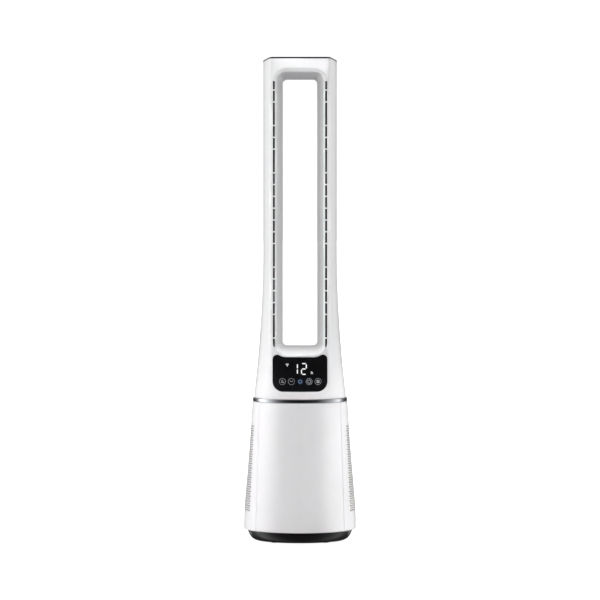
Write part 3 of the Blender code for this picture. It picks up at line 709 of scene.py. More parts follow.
def window_station(share):
    """(x, y, z) points round the window, from its front edge (0) to the throat (1).

    The sides and top have a flat lip and then a straight funnel. The bottom is one concave scoop."""
    front, lip = window_outline(FRONT_WINDOW, -GAP), window_outline(LIP_WINDOW)
    throat = window_outline(THROAT_WINDOW)
    points = []
    for f, l, t in zip(front, lip, throat):
        front_y, lip_y = surface_y(*f) + LIP_RECESS, surface_y(*l) + LIP_DEPTH
        if share < LIP_SHARE:
            u = share / LIP_SHARE
            ledge = Vector((mix(f[0], l[0], u), mix(front_y, lip_y, u), mix(f[1], l[1], u)))
        else:
            u = (share - LIP_SHARE) / (1 - LIP_SHARE)
            ledge = Vector((mix(l[0], t[0], u), mix(lip_y, THROAT_Y, u), mix(l[1], t[1], u)))
        rise, run = 1 - (1 - share) ** 2.1, share**1.7
        scoop = Vector((mix(f[0], t[0], rise), mix(front_y, THROAT_Y, run), mix(f[1], t[1], rise)))
        points.append(ledge.lerp(scoop, bottom_weight(f[1], FRONT_WINDOW)))
    return points


def sunk(outline, depth, back=False):
    """(x, y, z) points of an outline, at a depth measured along Y from the head's front or back surface."""
    return [(x, surface_y(x, z, back) + depth, z) for x, z in outline]


def window_frame():
    """The loop that lines the window: rounded outer edge, lip, funnel or scoop, throat and back edge."""
    rings = []
    for growth, depth in ((0, 2.4), (0, 1.5), (-0.12, 1.05), (-0.4, 0.82)):
        rings.append(sunk(window_outline(FRONT_WINDOW, -GAP + growth * MM), depth * MM))
    rings += [window_station(share) for share in STATIONS]
    throat = window_outline(THROAT_WINDOW)
    back = sunk(window_outline(BACK_WINDOW), -LIP_RECESS, True)
    for u in (0.03, 0.15, 0.4, 0.7, 0.95):
        pairs = zip(throat, back)
        rings.append([(mix(x, b[0], u), mix(THROAT_Y, b[1], u), mix(z, b[2], u)) for (x, z), b in pairs])
    for growth, depth in ((0.15, 0.15), (0.5, 0.0), (1.7, 0.0), (2.2, 0.4)):
        rings.append(sunk(window_outline(BACK_WINDOW, growth * MM), -LIP_RECESS - depth * MM, True))
    rings.append([(x, THROAT_Y, z) for x, z in window_outline(THROAT_WINDOW, WALL)])
    rings.append(sunk(window_outline(LIP_WINDOW, WALL), LIP_DEPTH + WALL))
    rings.append(sunk(window_outline(FRONT_WINDOW, -GAP), LIP_RECESS + WALL))
    liner = loft("window_frame", rings, closed=True, sharp_degrees=28)
    boolean(liner, slot_cutters())
    smoothed(liner.data, 28)
    finish_piece(liner, "head", "white_liner", "nozzle_liner", slot="white_gloss")


def bridge_middles():
    return [BRIDGE_TOP - BRIDGE_PITCH * i for i in range(BRIDGE_COUNT) if i not in BRIDGES_LEFT_OUT]


def slot_cutters():
    """Upright openings with slightly rounded ends, between the bridges."""
    tops = [SLOT_TOP] + [z - BRIDGE_WIDTH / 2 for z in bridge_middles()]
    bottoms = [z + BRIDGE_WIDTH / 2 for z in bridge_middles()] + [SLOT_BOTTOM]
    bm = bmesh.new()
    radius = SLOT_END_RADIUS
    for top, bottom in zip(tops, bottoms):
        for side in (-1, 1):
            xs = sorted((side * SLOT_INNER_X, side * SLOT_OUTER_X))
            outline = []
            for i, (right, high_z) in enumerate(((1, 0), (1, 1), (0, 1), (0, 0))):
                x = xs[1] - radius if right else xs[0] + radius
                z = top - radius if high_z else bottom + radius
                outline += arc((x, z), radius, 90 * i - 90, 90 * i, 5)
            rows = [[bm.verts.new((x, y, z)) for x, z in outline] for y in (-0.1, -0.05)]
            bm.faces.new(rows[0])
            bm.faces.new(reversed(rows[1]))
            for i in range(len(outline)):
                j = (i + 1) % len(outline)
                bm.faces.new((rows[0][j], rows[0][i], rows[1][i], rows[1][j]))
    bmesh.ops.recalc_face_normals(bm, faces=bm.faces)
    return from_bmesh("slots", bm)


def slot_shade_troughs():
    """Channels behind the slots, which the air comes up; their black is painted shade, standing for the shadow
    inside the slots.
    """
    for name, side in (("slot_shade_left", -1), ("slot_shade_right", 1)):
        rings = []
        for i in range(40):
            z = mix(SLOT_BOTTOM - 6 * MM, SLOT_TOP + 6 * MM, i / 39)
            front = surface_y(SLOT_OUTER_X, z)
            rings.append([(side * x * MM, front + y * MM, z) for x, y in SLOT_SHADE_TROUGH])
        # painted shade: these black troughs make the slots read as shadowed openings
        finish_piece(loft(name, rings), "head", "shade_black", slot="black_satin")


# ---- display


def display_lens():
    lens = head_volume("lens", 0, NECK_BOTTOM, SHELL_TOP_DROP)
    boolean(lens, prism_along_y("lens_block", lens_outline(), *CUT_FRONT), "INTERSECT")
    hollowed(lens)
    smooth_skin(lens)
    finish_piece(lens, "head", "black_gloss", "display_lens")


def on_lens(name, shapes, material, lift=0.06 * MM):
    """Thin printed shapes that follow the lens. Each is a list of (x, z) points in mm, drawn anticlockwise."""
    vertices, faces = [], []
    for shape in shapes:
        first = len(vertices)
        vertices += [(x * MM, surface_y(x * MM, z * MM) - lift, z * MM) for x, z in shape]
        faces.append(tuple(range(first, first + len(shape))))
    finish_piece(mesh_object(name, vertices, faces), "head", material, slot="white_gloss")


def band(points, width, closed=False):
    """Quads along a path of (x, z) points in mm."""
    quads = []
    count = len(points)
    sides = []
    for i, point in enumerate(points):
        before = Vector(points[i - 1] if closed or i > 0 else point)
        after = Vector(points[(i + 1) % count] if closed or i < count - 1 else point)
        along = (after - before).normalized()
        across = Vector((along.y, -along.x)) * width / 2
        sides.append((Vector(point) + across, Vector(point) - across))
    last = count if closed else count - 1
    for i in range(last):
        a, b = sides[i], sides[(i + 1) % count]
        quads.append([tuple(a[0]), tuple(b[0]), tuple(b[1]), tuple(a[1])])
    return quads


def circle_band(centre, radius, width, start=0, end=360, steps=40):
    points = arc(centre, radius, start, end, steps + 1)
    whole = end - start == 360
    return band(points[:-1] if whole else points, width, whole)


# The segments of each digit, and the ends of a segment as (right, level) on the digit's grid
SEGMENTS = {"1": "bc", "2": "abged"}
SEGMENT_ENDS = {
    "a": ((0, 2), (1, 2)),
    "b": ((1, 1), (1, 2)),
    "c": ((1, 0), (1, 1)),
    "d": ((0, 0), (1, 0)),
    "e": ((0, 0), (0, 1)),
    "g": ((0, 1), (1, 1)),
}
# Sizes in mm
DIGIT_FOOT = 372.7
DIGIT_HEIGHT = 23.6
STROKE_WIDTH = 2.3
STROKE_GAP = 0.95


def digit(character, x, width):
    """A seven-segment digit of six-sided strokes, from its left side."""
    half = STROKE_WIDTH / 2
    shapes = []
    for letter in SEGMENTS[character]:
        ends = SEGMENT_ENDS[letter]
        places = [(x + width * right, DIGIT_FOOT + DIGIT_HEIGHT * level / 2) for right, level in ends]
        start, end = map(Vector, places)
        along = (end - start).normalized() * half
        across = Vector((along.y, -along.x))
        start, end = start + along * STROKE_GAP / half, end - along * STROKE_GAP / half
        near, far = start + along, end - along
        stroke = (start, near + across, far + across, end, far - across, near - across)
        shapes.append([tuple(point) for point in stroke])
    return shapes


ICON_HEIGHT = 356.5
ICON_PITCH = 19.8
ICON_CENTRE = 0.6
SIGNAL_PLACE = (-28.4, 391.4)


def display_marks():
    """The lit digits and the ring of each touch key, with a simple sign inside it."""
    on_lens("lit_digits", digit("1", -15.2, 9.4) + digit("2", 3.4, 10.6), "led_white")
    unit = band([(25.0, 379.2), (25.0, 373.2)], 1.0)
    unit += band([(25.0, 376.2), (26.4, 377.4), (28.0, 376.4), (28.0, 373.2)], 1.0)
    on_lens("lit_unit", unit, "led_white")
    signal = circle_band(SIGNAL_PLACE, 0.55, 1.1, 0, 360, 16)
    for radius in (2.5, 4.3):
        signal += circle_band(SIGNAL_PLACE, radius, 0.9, 40, 140, 10)
    on_lens("lit_signal", signal, "led_white")
    centres = [(ICON_CENTRE + ICON_PITCH * (i - 2), ICON_HEIGHT) for i in range(5)]
    rings = [quad for i in (0, 1, 3, 4) for quad in circle_band(centres[i], 7.0, 0.7)]
    x, z = centres[0]
    signs = band([(x - 3.2, z - 3.0), (x - 0.6, z + 3.6), (x + 0.8, z + 1.0)], 1.0)
    signs += band([(x - 1.2, z - 3.0), (x + 1.0, z - 0.6), (x + 3.6, z - 3.0)], 1.8)
    x, z = centres[1]
    signs += band([(x - 3.4, z + 2.4), (x, z - 0.6), (x + 3.4, z + 1.8)], 1.2)
    signs += circle_band(centres[3], 3.4, 1.2)
    for turn in range(0, 360, 45):
        signs += band([around(centres[3], 4.6, turn), around(centres[3], 6.0, turn)], 0.9)
    for turn in range(45, 360, 90):
        signs += circle_band(around(centres[4], 2.2, turn), 1.0, 2.0, 0, 360, 14)
    on_lens("key_rings", rings, "led_dim")
    on_lens("key_signs", signs, "led_dim")
    x, z = centres[2]
    power = circle_band((x, z), 3.3, 1.0, 115, 425, 40) + band([(x, z + 4.6), (x, z + 1.4)], 0.9)
    on_lens("power_sign", power, "led_blue")
    on_lens("power_glow", [arc((x, z), 6.4, 0, 360, 41)[:-1]], "led_halo", 0.03 * MM)


# ---- swivel ring


# In mm
RING_PROUD = 1
RING_CROWN = 0.7
RING_INSIDE = 99
RING_STEPS = 14


def swivel_ring():
    """A polished band with a slightly rounded face."""
    top, bottom = high("chrome_ring").z / MM, low("chrome_ring").z / MM
    outer = high("chrome_ring").x / MM + RING_PROUD
    middle, half = (top + bottom) / 2, (top - bottom) / 2
    face = []
    for i in range(RING_STEPS + 1):
        turn = math.pi / 2 * (1 - 2 * i / RING_STEPS)
        face.append((outer - RING_CROWN * (1 - abs(math.cos(turn)) ** 0.7), middle + half * math.sin(turn)))
    profile = face + [(RING_INSIDE, bottom), (RING_INSIDE, top)]
    finish_piece(lathe("trim_ring", profile, 256, 45), "base", "chrome", "chrome_ring")


# ---- base


def skirt_radius(z):
    if z > SKIRT_UPRIGHT:
        share = (z - SKIRT_UPRIGHT) / (SKIRT_TOP - SKIRT_UPRIGHT)
        return mix(CONE_FOOT_RADIUS, BASE_TOP_RADIUS, share) - CONE_HOLLOW * 4 * share * (1 - share)
    share = (SKIRT_UPRIGHT - z) / (SKIRT_UPRIGHT - SKIRT_BOTTOM)
    return mix(CONE_FOOT_RADIUS, BASE_RADIUS, 1 - (1 - share) ** 2)


def seam_x(z):
    return mix(SEAM_BOTTOM_X, SEAM_TOP_X, (z - SKIRT_BOTTOM) / (SKIRT_TOP - SKIRT_BOTTOM))


SEAM_HALF_GAP = 0.45 * MM
PANEL_COLUMNS = 120
PANEL_EDGE_STEPS = 3
PANEL_EDGE_ANGLE = 0.0011  # radians that each step of the panel's softened edge adds
PANEL_EDGE_SOFTNESS = 0.12 * MM
OUTER_SKIN = 1.2 * MM
FOOT_RADIUS = 3.5 * MM
FOOT_START = SKIRT_BOTTOM + FOOT_RADIUS
LIP_RADIUS = 119.5 * MM


def foot_roll():
    """(radius, height) points of the rounded lower edge, from the wall to the lip, in metres."""
    edge = skirt_radius(FOOT_START)
    turn_points = arc((edge - FOOT_RADIUS, SKIRT_BOTTOM + FOOT_RADIUS), FOOT_RADIUS, 0, -90, 9)
    return turn_points + [(LIP_RADIUS, SKIRT_BOTTOM)]


def seam_angle(z, beyond):
    """The seam's angle from the front at a height, or that of a line a short way beyond it."""
    return math.asin((seam_x(z) + beyond) / skirt_radius(max(z, FOOT_START)))


def skirt_levels(count):
    edge = skirt_radius(SKIRT_TOP)
    top = [(edge - 0.7 * MM, SKIRT_TOP), (edge - 0.2 * MM, SKIRT_TOP - 0.2 * MM)]
    heights = [mix(SKIRT_TOP - 0.9 * MM, FOOT_START + 1 * MM, i / count) for i in range(count + 1)]
    return top + [(skirt_radius(z), z) for z in heights] + foot_roll()


def base_front():
    """The smooth front panel: its wall's section swept between the seams, with softened seam edges."""
    outer = skirt_levels(40)
    inner = [(r - WALL, z) for r, z in reversed(outer[1:44])]
    section = outer + [(LIP_RADIUS, SKIRT_BOTTOM + WALL)] + inner
    rings = []
    for i in range(-PANEL_EDGE_STEPS, PANEL_COLUMNS + PANEL_EDGE_STEPS + 1):
        share = min(1, max(0, i / PANEL_COLUMNS))
        past = max(0, -i, i - PANEL_COLUMNS)
        ring = []
        for r, z in section:
            limit = seam_angle(z, -SEAM_HALF_GAP)
            angle = mix(-limit, limit, share) + math.copysign(PANEL_EDGE_ANGLE * past, share - 0.5)
            if r > skirt_radius(max(z, FOOT_START)) - OUTER_SKIN:
                r -= PANEL_EDGE_SOFTNESS * past**1.5
            ring.append((r * math.sin(angle), -r * math.cos(angle), z))
        rings.append(ring)
    finish_piece(loft("front_cover", rings), "panel", "white_gloss", "front_panel")


VENT_PITCH = 6.0 * MM
VENT_RADIUS = 2.2 * MM
VENT_LOW = 63 * MM
VENT_HIGH = 256 * MM
VENT_EDGE_LOW_X = 112 * MM
VENT_EDGE_HIGH_X = 103.5 * MM
HOLE_CORNERS = 12
HOLE_START = -150  # degrees, so that the hole's corners face the cell's
BORDER_COLUMNS = 8
HOUSING_WALL = 2.2 * MM
VENT_WALL = 0.2 * MM


def vent_edge_angle(z):
    x = mix(VENT_EDGE_LOW_X, VENT_EDGE_HIGH_X, (z - VENT_LOW) / (VENT_HIGH - VENT_LOW))
    return math.asin(min(0.97, x / skirt_radius(z)))


class SkirtGrid:
    """Vertices of the rear housing's wall, kept by their place in a grid of half-pitch columns and rows."""

    def __init__(self):
        self.vertices, self.faces, self.index = [], [], {}

    def add(self, key, radius, angle, z):
        if key not in self.index:
            self.index[key] = len(self.vertices)
            self.vertices.append((radius * math.sin(angle), -radius * math.cos(angle), z))
        return self.index[key]

    def face(self, corners):
        unique = [c for i, c in enumerate(corners) if c != corners[i - 1]]
        if len(unique) > 2:
            self.faces.append(unique)


def base_rear():
    """The perforated rear housing: brick-laid cells, each with a round hole, inside plain borders."""
    grid = SkirtGrid()
    row_height = VENT_PITCH * math.sqrt(3) / 2
    rows = round((VENT_HIGH - VENT_LOW) / row_height)
    middle_span = 2 * (math.pi - vent_edge_angle((VENT_LOW + VENT_HIGH) / 2)) * skirt_radius(160 * MM)
    half_columns = 2 * round(middle_span / VENT_PITCH)
    heights = [mix(VENT_HIGH, VENT_LOW, r / rows) for r in range(rows + 1)]
    border = BORDER_COLUMNS

    def column_angle(column, z):
        """Angle of a grid column, border columns included, at a height."""
        level = min(VENT_HIGH, max(VENT_LOW, z))
        seam, edge = seam_angle(z, SEAM_HALF_GAP), vent_edge_angle(level)
        if column < border:
            return mix(seam, edge, column / border)
        if column > border + half_columns:
            return 2 * math.pi - mix(seam, edge, (2 * border + half_columns - column) / border)
        return mix(edge, 2 * math.pi - edge, (column - border) / half_columns)

    total = 2 * border + half_columns
    above = [(skirt_radius(SKIRT_TOP), SKIRT_TOP)]
    above += [(skirt_radius(z), z) for z in np.linspace(SKIRT_TOP - 1 * MM, VENT_HIGH, 10)[:-1]]
    below = [(skirt_radius(z), z) for z in np.linspace(VENT_LOW, FOOT_START + 1 * MM, 10)[1:]] + foot_roll()
    levels = above + [(skirt_radius(z), z) for z in heights] + below

    def vertex(level, column):
        radius, z = levels[level]
        return grid.add((level, column), radius, column_angle(column, z), z)

    def plain_face(level, column):
        corners = ((level, column), (level + 1, column), (level + 1, column + 1), (level, column + 1))
        grid.face([vertex(*corner) for corner in corners])

    first = len(above)
    for level in range(len(levels) - 1):
        for column in range(total):
            if not (first <= level < first + rows and border <= column < border + half_columns):
                plain_face(level, column)
    for row in range(rows):
        level = first + row
        if row % 2:
            for column in (border, border + half_columns - 1):
                plain_face(level, column)
        for column in range(border + row % 2, border + half_columns - 1, 2):
            rim = [vertex(level + 1, column + i) for i in range(3)]
            rim += [vertex(level, column + i) for i in (2, 1, 0)]
            z = (levels[level][1] + levels[level + 1][1]) / 2
            hole = []
            for k in range(HOLE_CORNERS):
                across, rise = around((0, 0), VENT_RADIUS, HOLE_START + 360 * k / HOLE_CORNERS)
                angle = column_angle(column + 1, z) + across / skirt_radius(z)
                hole.append(grid.add(("hole", level, column, k), skirt_radius(z + rise), angle, z + rise))
            for k in range(len(rim)):
                near = [hole[(2 * k + i) % HOLE_CORNERS] for i in (2, 1, 0)]
                grid.face([rim[k], rim[(k + 1) % len(rim)], *near])
    housing = mesh_object("perforated_housing", grid.vertices, grid.faces, 30)
    thick = housing.vertex_groups.new(name="thick")
    for key, number in grid.index.items():
        vented = key[0] == "hole" or (0 <= key[0] - first <= rows and 0 <= key[1] - border <= half_columns)
        thick.add([number], 0.0 if vented else 1.0, "REPLACE")
    outward_sheet(housing)
    solidify = housing.modifiers.new("wall", "SOLIDIFY")
    solidify.thickness = HOUSING_WALL
    solidify.thickness_vertex_group = VENT_WALL / HOUSING_WALL
    solidify.vertex_group = thick.name
    solidify.offset = -1
    applied(housing)
    smoothed(housing.data, 30)
    finish_piece(housing, "base", "white_gloss", "rear_housing")


def vent_shade_sheet():
    """A dark sheet just inside the perforated wall: painted shade, so that the holes look dark."""
    levels = np.linspace(VENT_HIGH, VENT_LOW, 14)
    rings = []
    for i in range(161):
        ring = []
        for depth, heights in ((0.1 * MM, levels), (0.6 * MM, reversed(levels))):
            for z in heights:
                edge = vent_edge_angle(z)
                angle, radius = mix(edge, 2 * math.pi - edge, i / 160), skirt_radius(z) - VENT_WALL - depth
                ring.append((radius * math.sin(angle), -radius * math.cos(angle), z))
        rings.append(ring)
    # painted shade: this black sheet stands for the shadow seen through the vent holes
    finish_piece(loft("vent_shade_sheet", rings), "base", "shade_black", slot="black_satin")


def outward_sheet(obj):
    """Turns an open sheet's faces away from the Z axis."""
    mesh = obj.data
    face = max(mesh.polygons, key=lambda polygon: polygon.center.xy.length)
    if face.normal.xy.dot(face.center.xy) < 0:
        mesh.flip_normals()


def tray():
    inner = [(0, 0), (92, 0), (105, 4), (113.5, 20.3)]
    wall = [(118.4, 20.3), (118.1, 18.6), (117.4, 16.3), (116.4, 13.8), (115.2, 11), (113.6, 7.8)]
    wall += [(111.4, 4.5), (108.8, 1.5), (106, -0.7), (103, -2.3), (99.5, -3.5), (96, -4), (0, -4)]
    obj = lathe("floor_tray", inner + wall, 192, 40)
    finish_piece(obj, "base", "black_satin", "base_tray")


# ---- inside the base, and the fixings

# Round parts as (piece, CAD node, body, material, edge radius in mm, profile in mm)
ROUND_PIECES = (
    ("seat_plate", "filter_seat", "base", "grey_plastic", 0.6,
     [(0, 28), (86, 28), (86.6, 27.2), (88.6, 27.2), (89.2, 28), (117, 28), (117, 25.4), (0, 25.4)]),
    ("filter_foot_frame", "filter_bottom_frame", "base", "white_satin", 0.7,
     [(0, 31), (82, 31), (82, 38), (84, 38), (84, 34), (83.5, 33.6), (83.5, 32.4), (84, 32), (84, 28.4),
      (0, 28.4)]),
    ("filter_head_frame", "filter_top_frame", "base", "white_satin", 0.7,
     [(84, 184), (84, 180.6), (83.5, 180.2), (83.5, 178.8), (84, 178.4), (84, 174), (82, 174), (82, 181),
      (60.5, 181), (60.5, 184)]),
    ("filter_net", "prefilter_sleeve", "base", "fabric", 0.15,
     [(83.0, 173.7), (83.0, 38.3), (82.4, 38.3), (82.4, 173.7)]),
    ("inlet_deck", "intake_deck", "base", "grey_plastic", 0.7,
     [(111.8, 190), (111.8, 186.5), (62, 186.5), (57, 190.5), (57, 198), (59, 198), (59, 191.5), (62, 190)]),
    ("fan_shroud", "blower_shroud", "base", "grey_plastic", 1.2,
     [(66, 286), (66, 276), (68, 270), (86, 256), (98, 245), (104, 232), (104, 196), (104, 190.3),
      (101.5, 190.3), (101.5, 232), (96, 243), (84, 254), (66, 268.5), (64, 276), (64, 286)]),
    ("duct_gasket", "duct_seal", "base", "rubber", 0.5,
     [(66, 290.7), (66, 286.3), (60.5, 286.3), (60.5, 290.7)]),
    ("swivel_slide", "slide_ring", "base", "acetal", 0.4,
     [(75, 303.1), (75, 300.3), (65, 300.3), (65, 303.1)]),
    ("swivel_collar", "retaining_ring", "head", "steel", 0.3,
     [(69.5, 295.5), (69.5, 291.5), (64, 291.5), (64, 295.5)]),
    ("swivel_neck", "swivel_hub", "head", "grey_plastic", 0.5,
     [(63, 345), (63, 321), (98.3, 321), (98.3, 318), (70, 318), (70, 303.4), (63, 303.4), (63, 291),
      (60, 291), (60, 345)]),
)
RIB_COUNT = 28
RIB_HEIGHTS = (44, 72, 106, 140, 168)
NET_RADIUS = 83.0
CENTRE = (0, 0)
POST_PLACES = [around(CENTRE, 100 * MM, degrees) for degrees in (10, 90, 170)]
FOOT_PLACES = [around(CENTRE, 78 * MM, 45 + 90 * i) for i in range(4)]
BASE_SCREW_PLACES = [around(CENTRE, 60 * MM, 90 * i) for i in range(4)]

# Profiles in mm: a screw's pan head and countersunk head with their shanks, a foot, and a post
PAN_HEAD = (
    (0, 5), (1.3, 4.95), (2.6, 4.65), (3.5, 4.1), (4, 3.4), (4, 2.8), (1.5, 2.8), (1.5, -10), (0, -11),
)
SUNK_HEAD = (
    (0, 5.7), (1.4, 5.65), (2.6, 5.4), (3.4, 5.1), (3.8, 4.7), (3.8, 4.3), (1.7, 4.3), (1.7, -21), (0, -21),
)
PAD = (
    (0, -2.3), (9.7, -2.3), (9.7, -5), (9.3, -5.6), (8.5, -6), (7.2, -6), (6.9, -5.4), (6.3, -5.4), (6, -6),
    (4.4, -6), (4.1, -5.4), (3.5, -5.4), (3.2, -6), (0, -6),
)
POST = ((0, 186.2), (4, 186.2), (4, 182), (3.4, 180), (3.4, 36), (4, 34), (4, 28.3), (0, 28.3))


def merged(name, parts):
    """One object from several."""
    bm = bmesh.new()
    for part in parts:
        bm.from_mesh(part.data)
        bpy.data.objects.remove(part)
    obj = from_bmesh(name, bm)
    smoothed(obj.data)
    return obj


def filter_ribs():
    """The net's stiffeners: hoops, and uprights with rounded outer faces."""
    parts = []
    for z in RIB_HEIGHTS:
        turns = [math.radians(a) for a in range(80, -81, -20)]
        face = [(NET_RADIUS + 0.6 * math.cos(turn), z + 1.1 * math.sin(turn)) for turn in turns]
        back = [(NET_RADIUS - 0.1, z - 1.0), (NET_RADIUS - 0.1, z + 1.0)]
        parts.append(lathe("hoop", face + back, 160, 40))
    for i in range(RIB_COUNT):
        place = around(CENTRE, NET_RADIUS * MM, 360 * (i + 0.5) / RIB_COUNT)
        parts.append(lathe("upright", [(0, 173.4), (0.55, 173.4), (0.55, 38.6), (0, 38.6)], 12, 40, place))
    finish_piece(merged("filter_ribs", parts), "base", "white_satin", slot="white_satin")


def pull_tab():
    """A folded loop of tape over the filter's front."""
    half, thick, corner = 7.6, 0.32, 0.3
    section = [(-half, 0.1), (-half + corner, 0), (half - corner, 0), (half, 0.1), (half, thick)]
    section += [(half - corner, thick + 0.1), (-half + corner, thick + 0.1), (-half, thick)]
    rings = []
    for i in range(25):
        share = i / 24
        out = 84.75 + 0.35 * math.sin(math.pi * share)
        rings.append([(x * MM, -(out + y) * MM, mix(160.4, 181.6, share) * MM) for x, y in section])
    finish_piece(loft("filter_tape", rings), "base", "tape", "filter_pull_tab", slot="fabric")


def posts():
    for number, place in enumerate(POST_PLACES, 1):
        obj = lathe(f"support_post_{number}", rounded(POST, 0.5), 32, 40, place)
        finish_piece(obj, "base", "grey_plastic", f"deck_post_{number}")


def crossed(obj, top, depth, half_length, half_width):
    """Cuts a cross recess down into the top of an upright screw that stands on the Z axis."""
    for x, y in ((half_length, half_width), (half_width, half_length)):
        block = box("recess", (-x * MM, -y * MM, (top - depth) * MM), (x * MM, y * MM, (top + 1) * MM))
        boolean(obj, block)
    smoothed(obj.data, 30)


def fixings():
    """The screws in the back of the head and under the tray, and the tray's ridged feet."""
    lying = Matrix.Rotation(-math.pi / 2, 4, "X")
    for number in range(1, 5):
        lowest, highest = low(f"shell_screw_{number}"), high(f"shell_screw_{number}")
        middle = (lowest + highest) / 2
        screw = lathe(f"rear_screw_{number}", PAN_HEAD, 40, 30)
        crossed(screw, 5, 1.6, 2.2, 0.42)
        screw.data.transform(Matrix.Translation((middle.x, highest.y - 5 * MM, middle.z)) @ lying)
        finish_piece(screw, "head", "steel", f"shell_screw_{number}")
    for number, place in enumerate(BASE_SCREW_PLACES, 1):
        screw = lathe(f"tray_screw_{number}", SUNK_HEAD, 40, 30)
        crossed(screw, 5.7, 1.2, 2.1, 0.4)
        screw.data.transform(Matrix.Translation((*place, 0)) @ Matrix.Rotation(math.pi, 4, "X"))
        finish_piece(screw, "base", "steel", f"base_screw_{number}")
    for number, place in enumerate(FOOT_PLACES, 1):
        foot = lathe(f"ridged_foot_{number}", PAD, 56, 30, place)
        finish_piece(foot, "base", "rubber", f"foot_{number}")


def gland():
    """The ribbed bushing in the tray's back wall."""
    outside = [(7.5, 120.6), (7.5, 117.8), (5.5, 117.8)]
    for y in (114.5, 111.5, 108.5):
        outside += [(5.5, y + 0.8), (5.1, y + 0.5), (5.1, y - 0.5), (5.5, y - 0.8)]
    profile = rounded(outside + [(5.5, 104), (3.2, 104), (3.2, 120.6)], 0.3, 3)
    obj = lathe("cord_bushing", profile, 64, 35)
    lift = Matrix.Translation((0, 0, (low("cord_gland").z + high("cord_gland").z) / 2))
    obj.data.transform(lift @ Matrix.Rotation(-math.pi / 2, 4, "X"))
    finish_piece(obj, "base", "rubber", "cord_gland")


def inner_pieces():
    for name, node, body, material, radius, profile in ROUND_PIECES:
        finish_piece(lathe(name, rounded(profile, radius), 160, 30), body, material, node)
    filter_ribs()
    pull_tab()
    posts()
    fixings()
    gland()


# ---- everything else keeps its CAD shape


def dress_cad_nodes():
    slots = {row["node"]: row["material_slot"] for row in frame["record"]["subparts"]}
    for name, obj in frame["nodes"].items():
        material = MATERIALS[slots[name]]
        if obj.data.materials:
            for i in range(len(obj.data.materials)):
                obj.data.materials[i] = material
        else:
            obj.data.materials.append(material)


# ---- studio

# How bright the studio is round the object: degrees from the front, to the left and to the right
LEFT_OF_FRONT = (
    (0, 0.0), (28, 0.015), (39, 0.05), (49, 0.13), (60, 0.26), (72, 0.55), (84, 1.0), (98, 1.8), (113, 1.9),
    (121, 1.1), (130, 0.28), (145, 0.05), (180, 0.03),
)
RIGHT_OF_FRONT = (
    (28, 0.015), (41, 0.05), (50, 0.1), (61, 0.23), (73, 0.43), (86, 0.66), (98, 1.2), (110, 1.6), (118, 1.0),
    (128, 0.25), (145, 0.05), (180, 0.03),
)
BRIGHTEST = 2.0
SOFT_SHARE = 0.35  # how much of that also lights matt surfaces
AMBIENT = 0.008
OVERHEAD = 2.85
BELOW = 1.0
SKY_GLOSS = 0.15  # how much of the light from above and below also shows in polished surfaces
BACKDROP = 1.03

# Each light's name, place, target, width and height, power in watts, and spread in degrees
AREA_LIGHTS = (
    ("front_fill", (0, -4.0, 0.45), (0, 0, 0.45), (2.2, 1.6), 4.5, 180),
    ("left_soft", (-3.75, -1.4, 0.7), (0, 0, 0.5), (1.6, 1.8), 42, 180),
    ("right_soft", (3.75, -1.4, 0.7), (0, 0, 0.5), (1.6, 1.8), 26, 180),
    ("back_fill", (0.5, 4.0, 0.9), (0, 0, 0.5), (2.2, 1.8), 42, 180),
    ("base_left", (-2.82, -1.03, 0), (0, 0, 0), (0.7, 0.8), 0.48, 4),
    ("base_right", (2.82, -1.03, 0), (0, 0, 0), (0.7, 0.8), 0.7, 4),
    ("head_key", (-0.05, -1.9, 0.81), (-0.05, 0, 0.81), (0.38, 0.8), 0.4, 8),
)


# Glowing cards behind the object: name, place and power in watts
RIM_CARDS = (("rim_left", (-2.41, 3.19, 0.7), 23), ("rim_right", (2.41, 3.19, 0.7), 22))
RIM_CARD_SIZE = (2.3, 4.0)

HORIZON = 0.3  # sine of the height from which the light from above and below begins
FLOOR_DROP = 0.5 * MM  # how far the floor lies under the feet
FLOOR_SIZE = 60

CAMERA_PLACE = (0, -8.1, 0.766)
CAMERA_TARGET = (0, 0, 0.5417)
CAMERA_LENS = 216


class World(Tree):
    """The world's light, with short calls for its maths."""

    def __init__(self, name):
        bpy.context.scene.world = bpy.data.worlds.new(name)
        super().__init__(bpy.context.scene.world)
        self.tree.nodes.clear()

    def math(self, operation, first, second=0.0):
        node = self.add("ShaderNodeMath", operation=operation)
        for socket, value in zip(node.inputs, (first, second)):
            if isinstance(value, (int, float)):
                socket.default_value = value
            else:
                self.link(value, socket)
        return node.outputs[0]

    def round_the_object(self, azimuth):
        """The brightness towards an azimuth, from the two lists above."""
        turn = self.math("ADD", self.math("MULTIPLY", azimuth, 0.5 / math.pi), 0.5)
        node = self.add("ShaderNodeValToRGB")
        self.link(turn, node.inputs[0])
        stops = [(-degrees, value) for degrees, value in reversed(LEFT_OF_FRONT)] + list(RIGHT_OF_FRONT)
        ends = node.color_ramp.elements
        for degrees, value in stops:
            first_or_last = {-180: ends[0], 180: ends[-1]}
            stop = first_or_last.get(degrees) or ends.new(0.5 + degrees / 360)
            stop.color = [value / BRIGHTEST] * 3 + [1]
        return self.math("MULTIPLY", node.outputs["Color"], BRIGHTEST)

    def share(self, switch, off, on):
        """One value where a switch is 0 and another where it is 1."""
        return self.math("ADD", self.math("MULTIPLY", switch, on - off), off)

    def background(self, strength):
        node = self.add("ShaderNodeBackground", Color=(1, 1, 1, 1))
        if isinstance(strength, (int, float)):
            node.inputs["Strength"].default_value = strength
        else:
            self.link(strength, node.inputs["Strength"])
        return node.outputs[0]


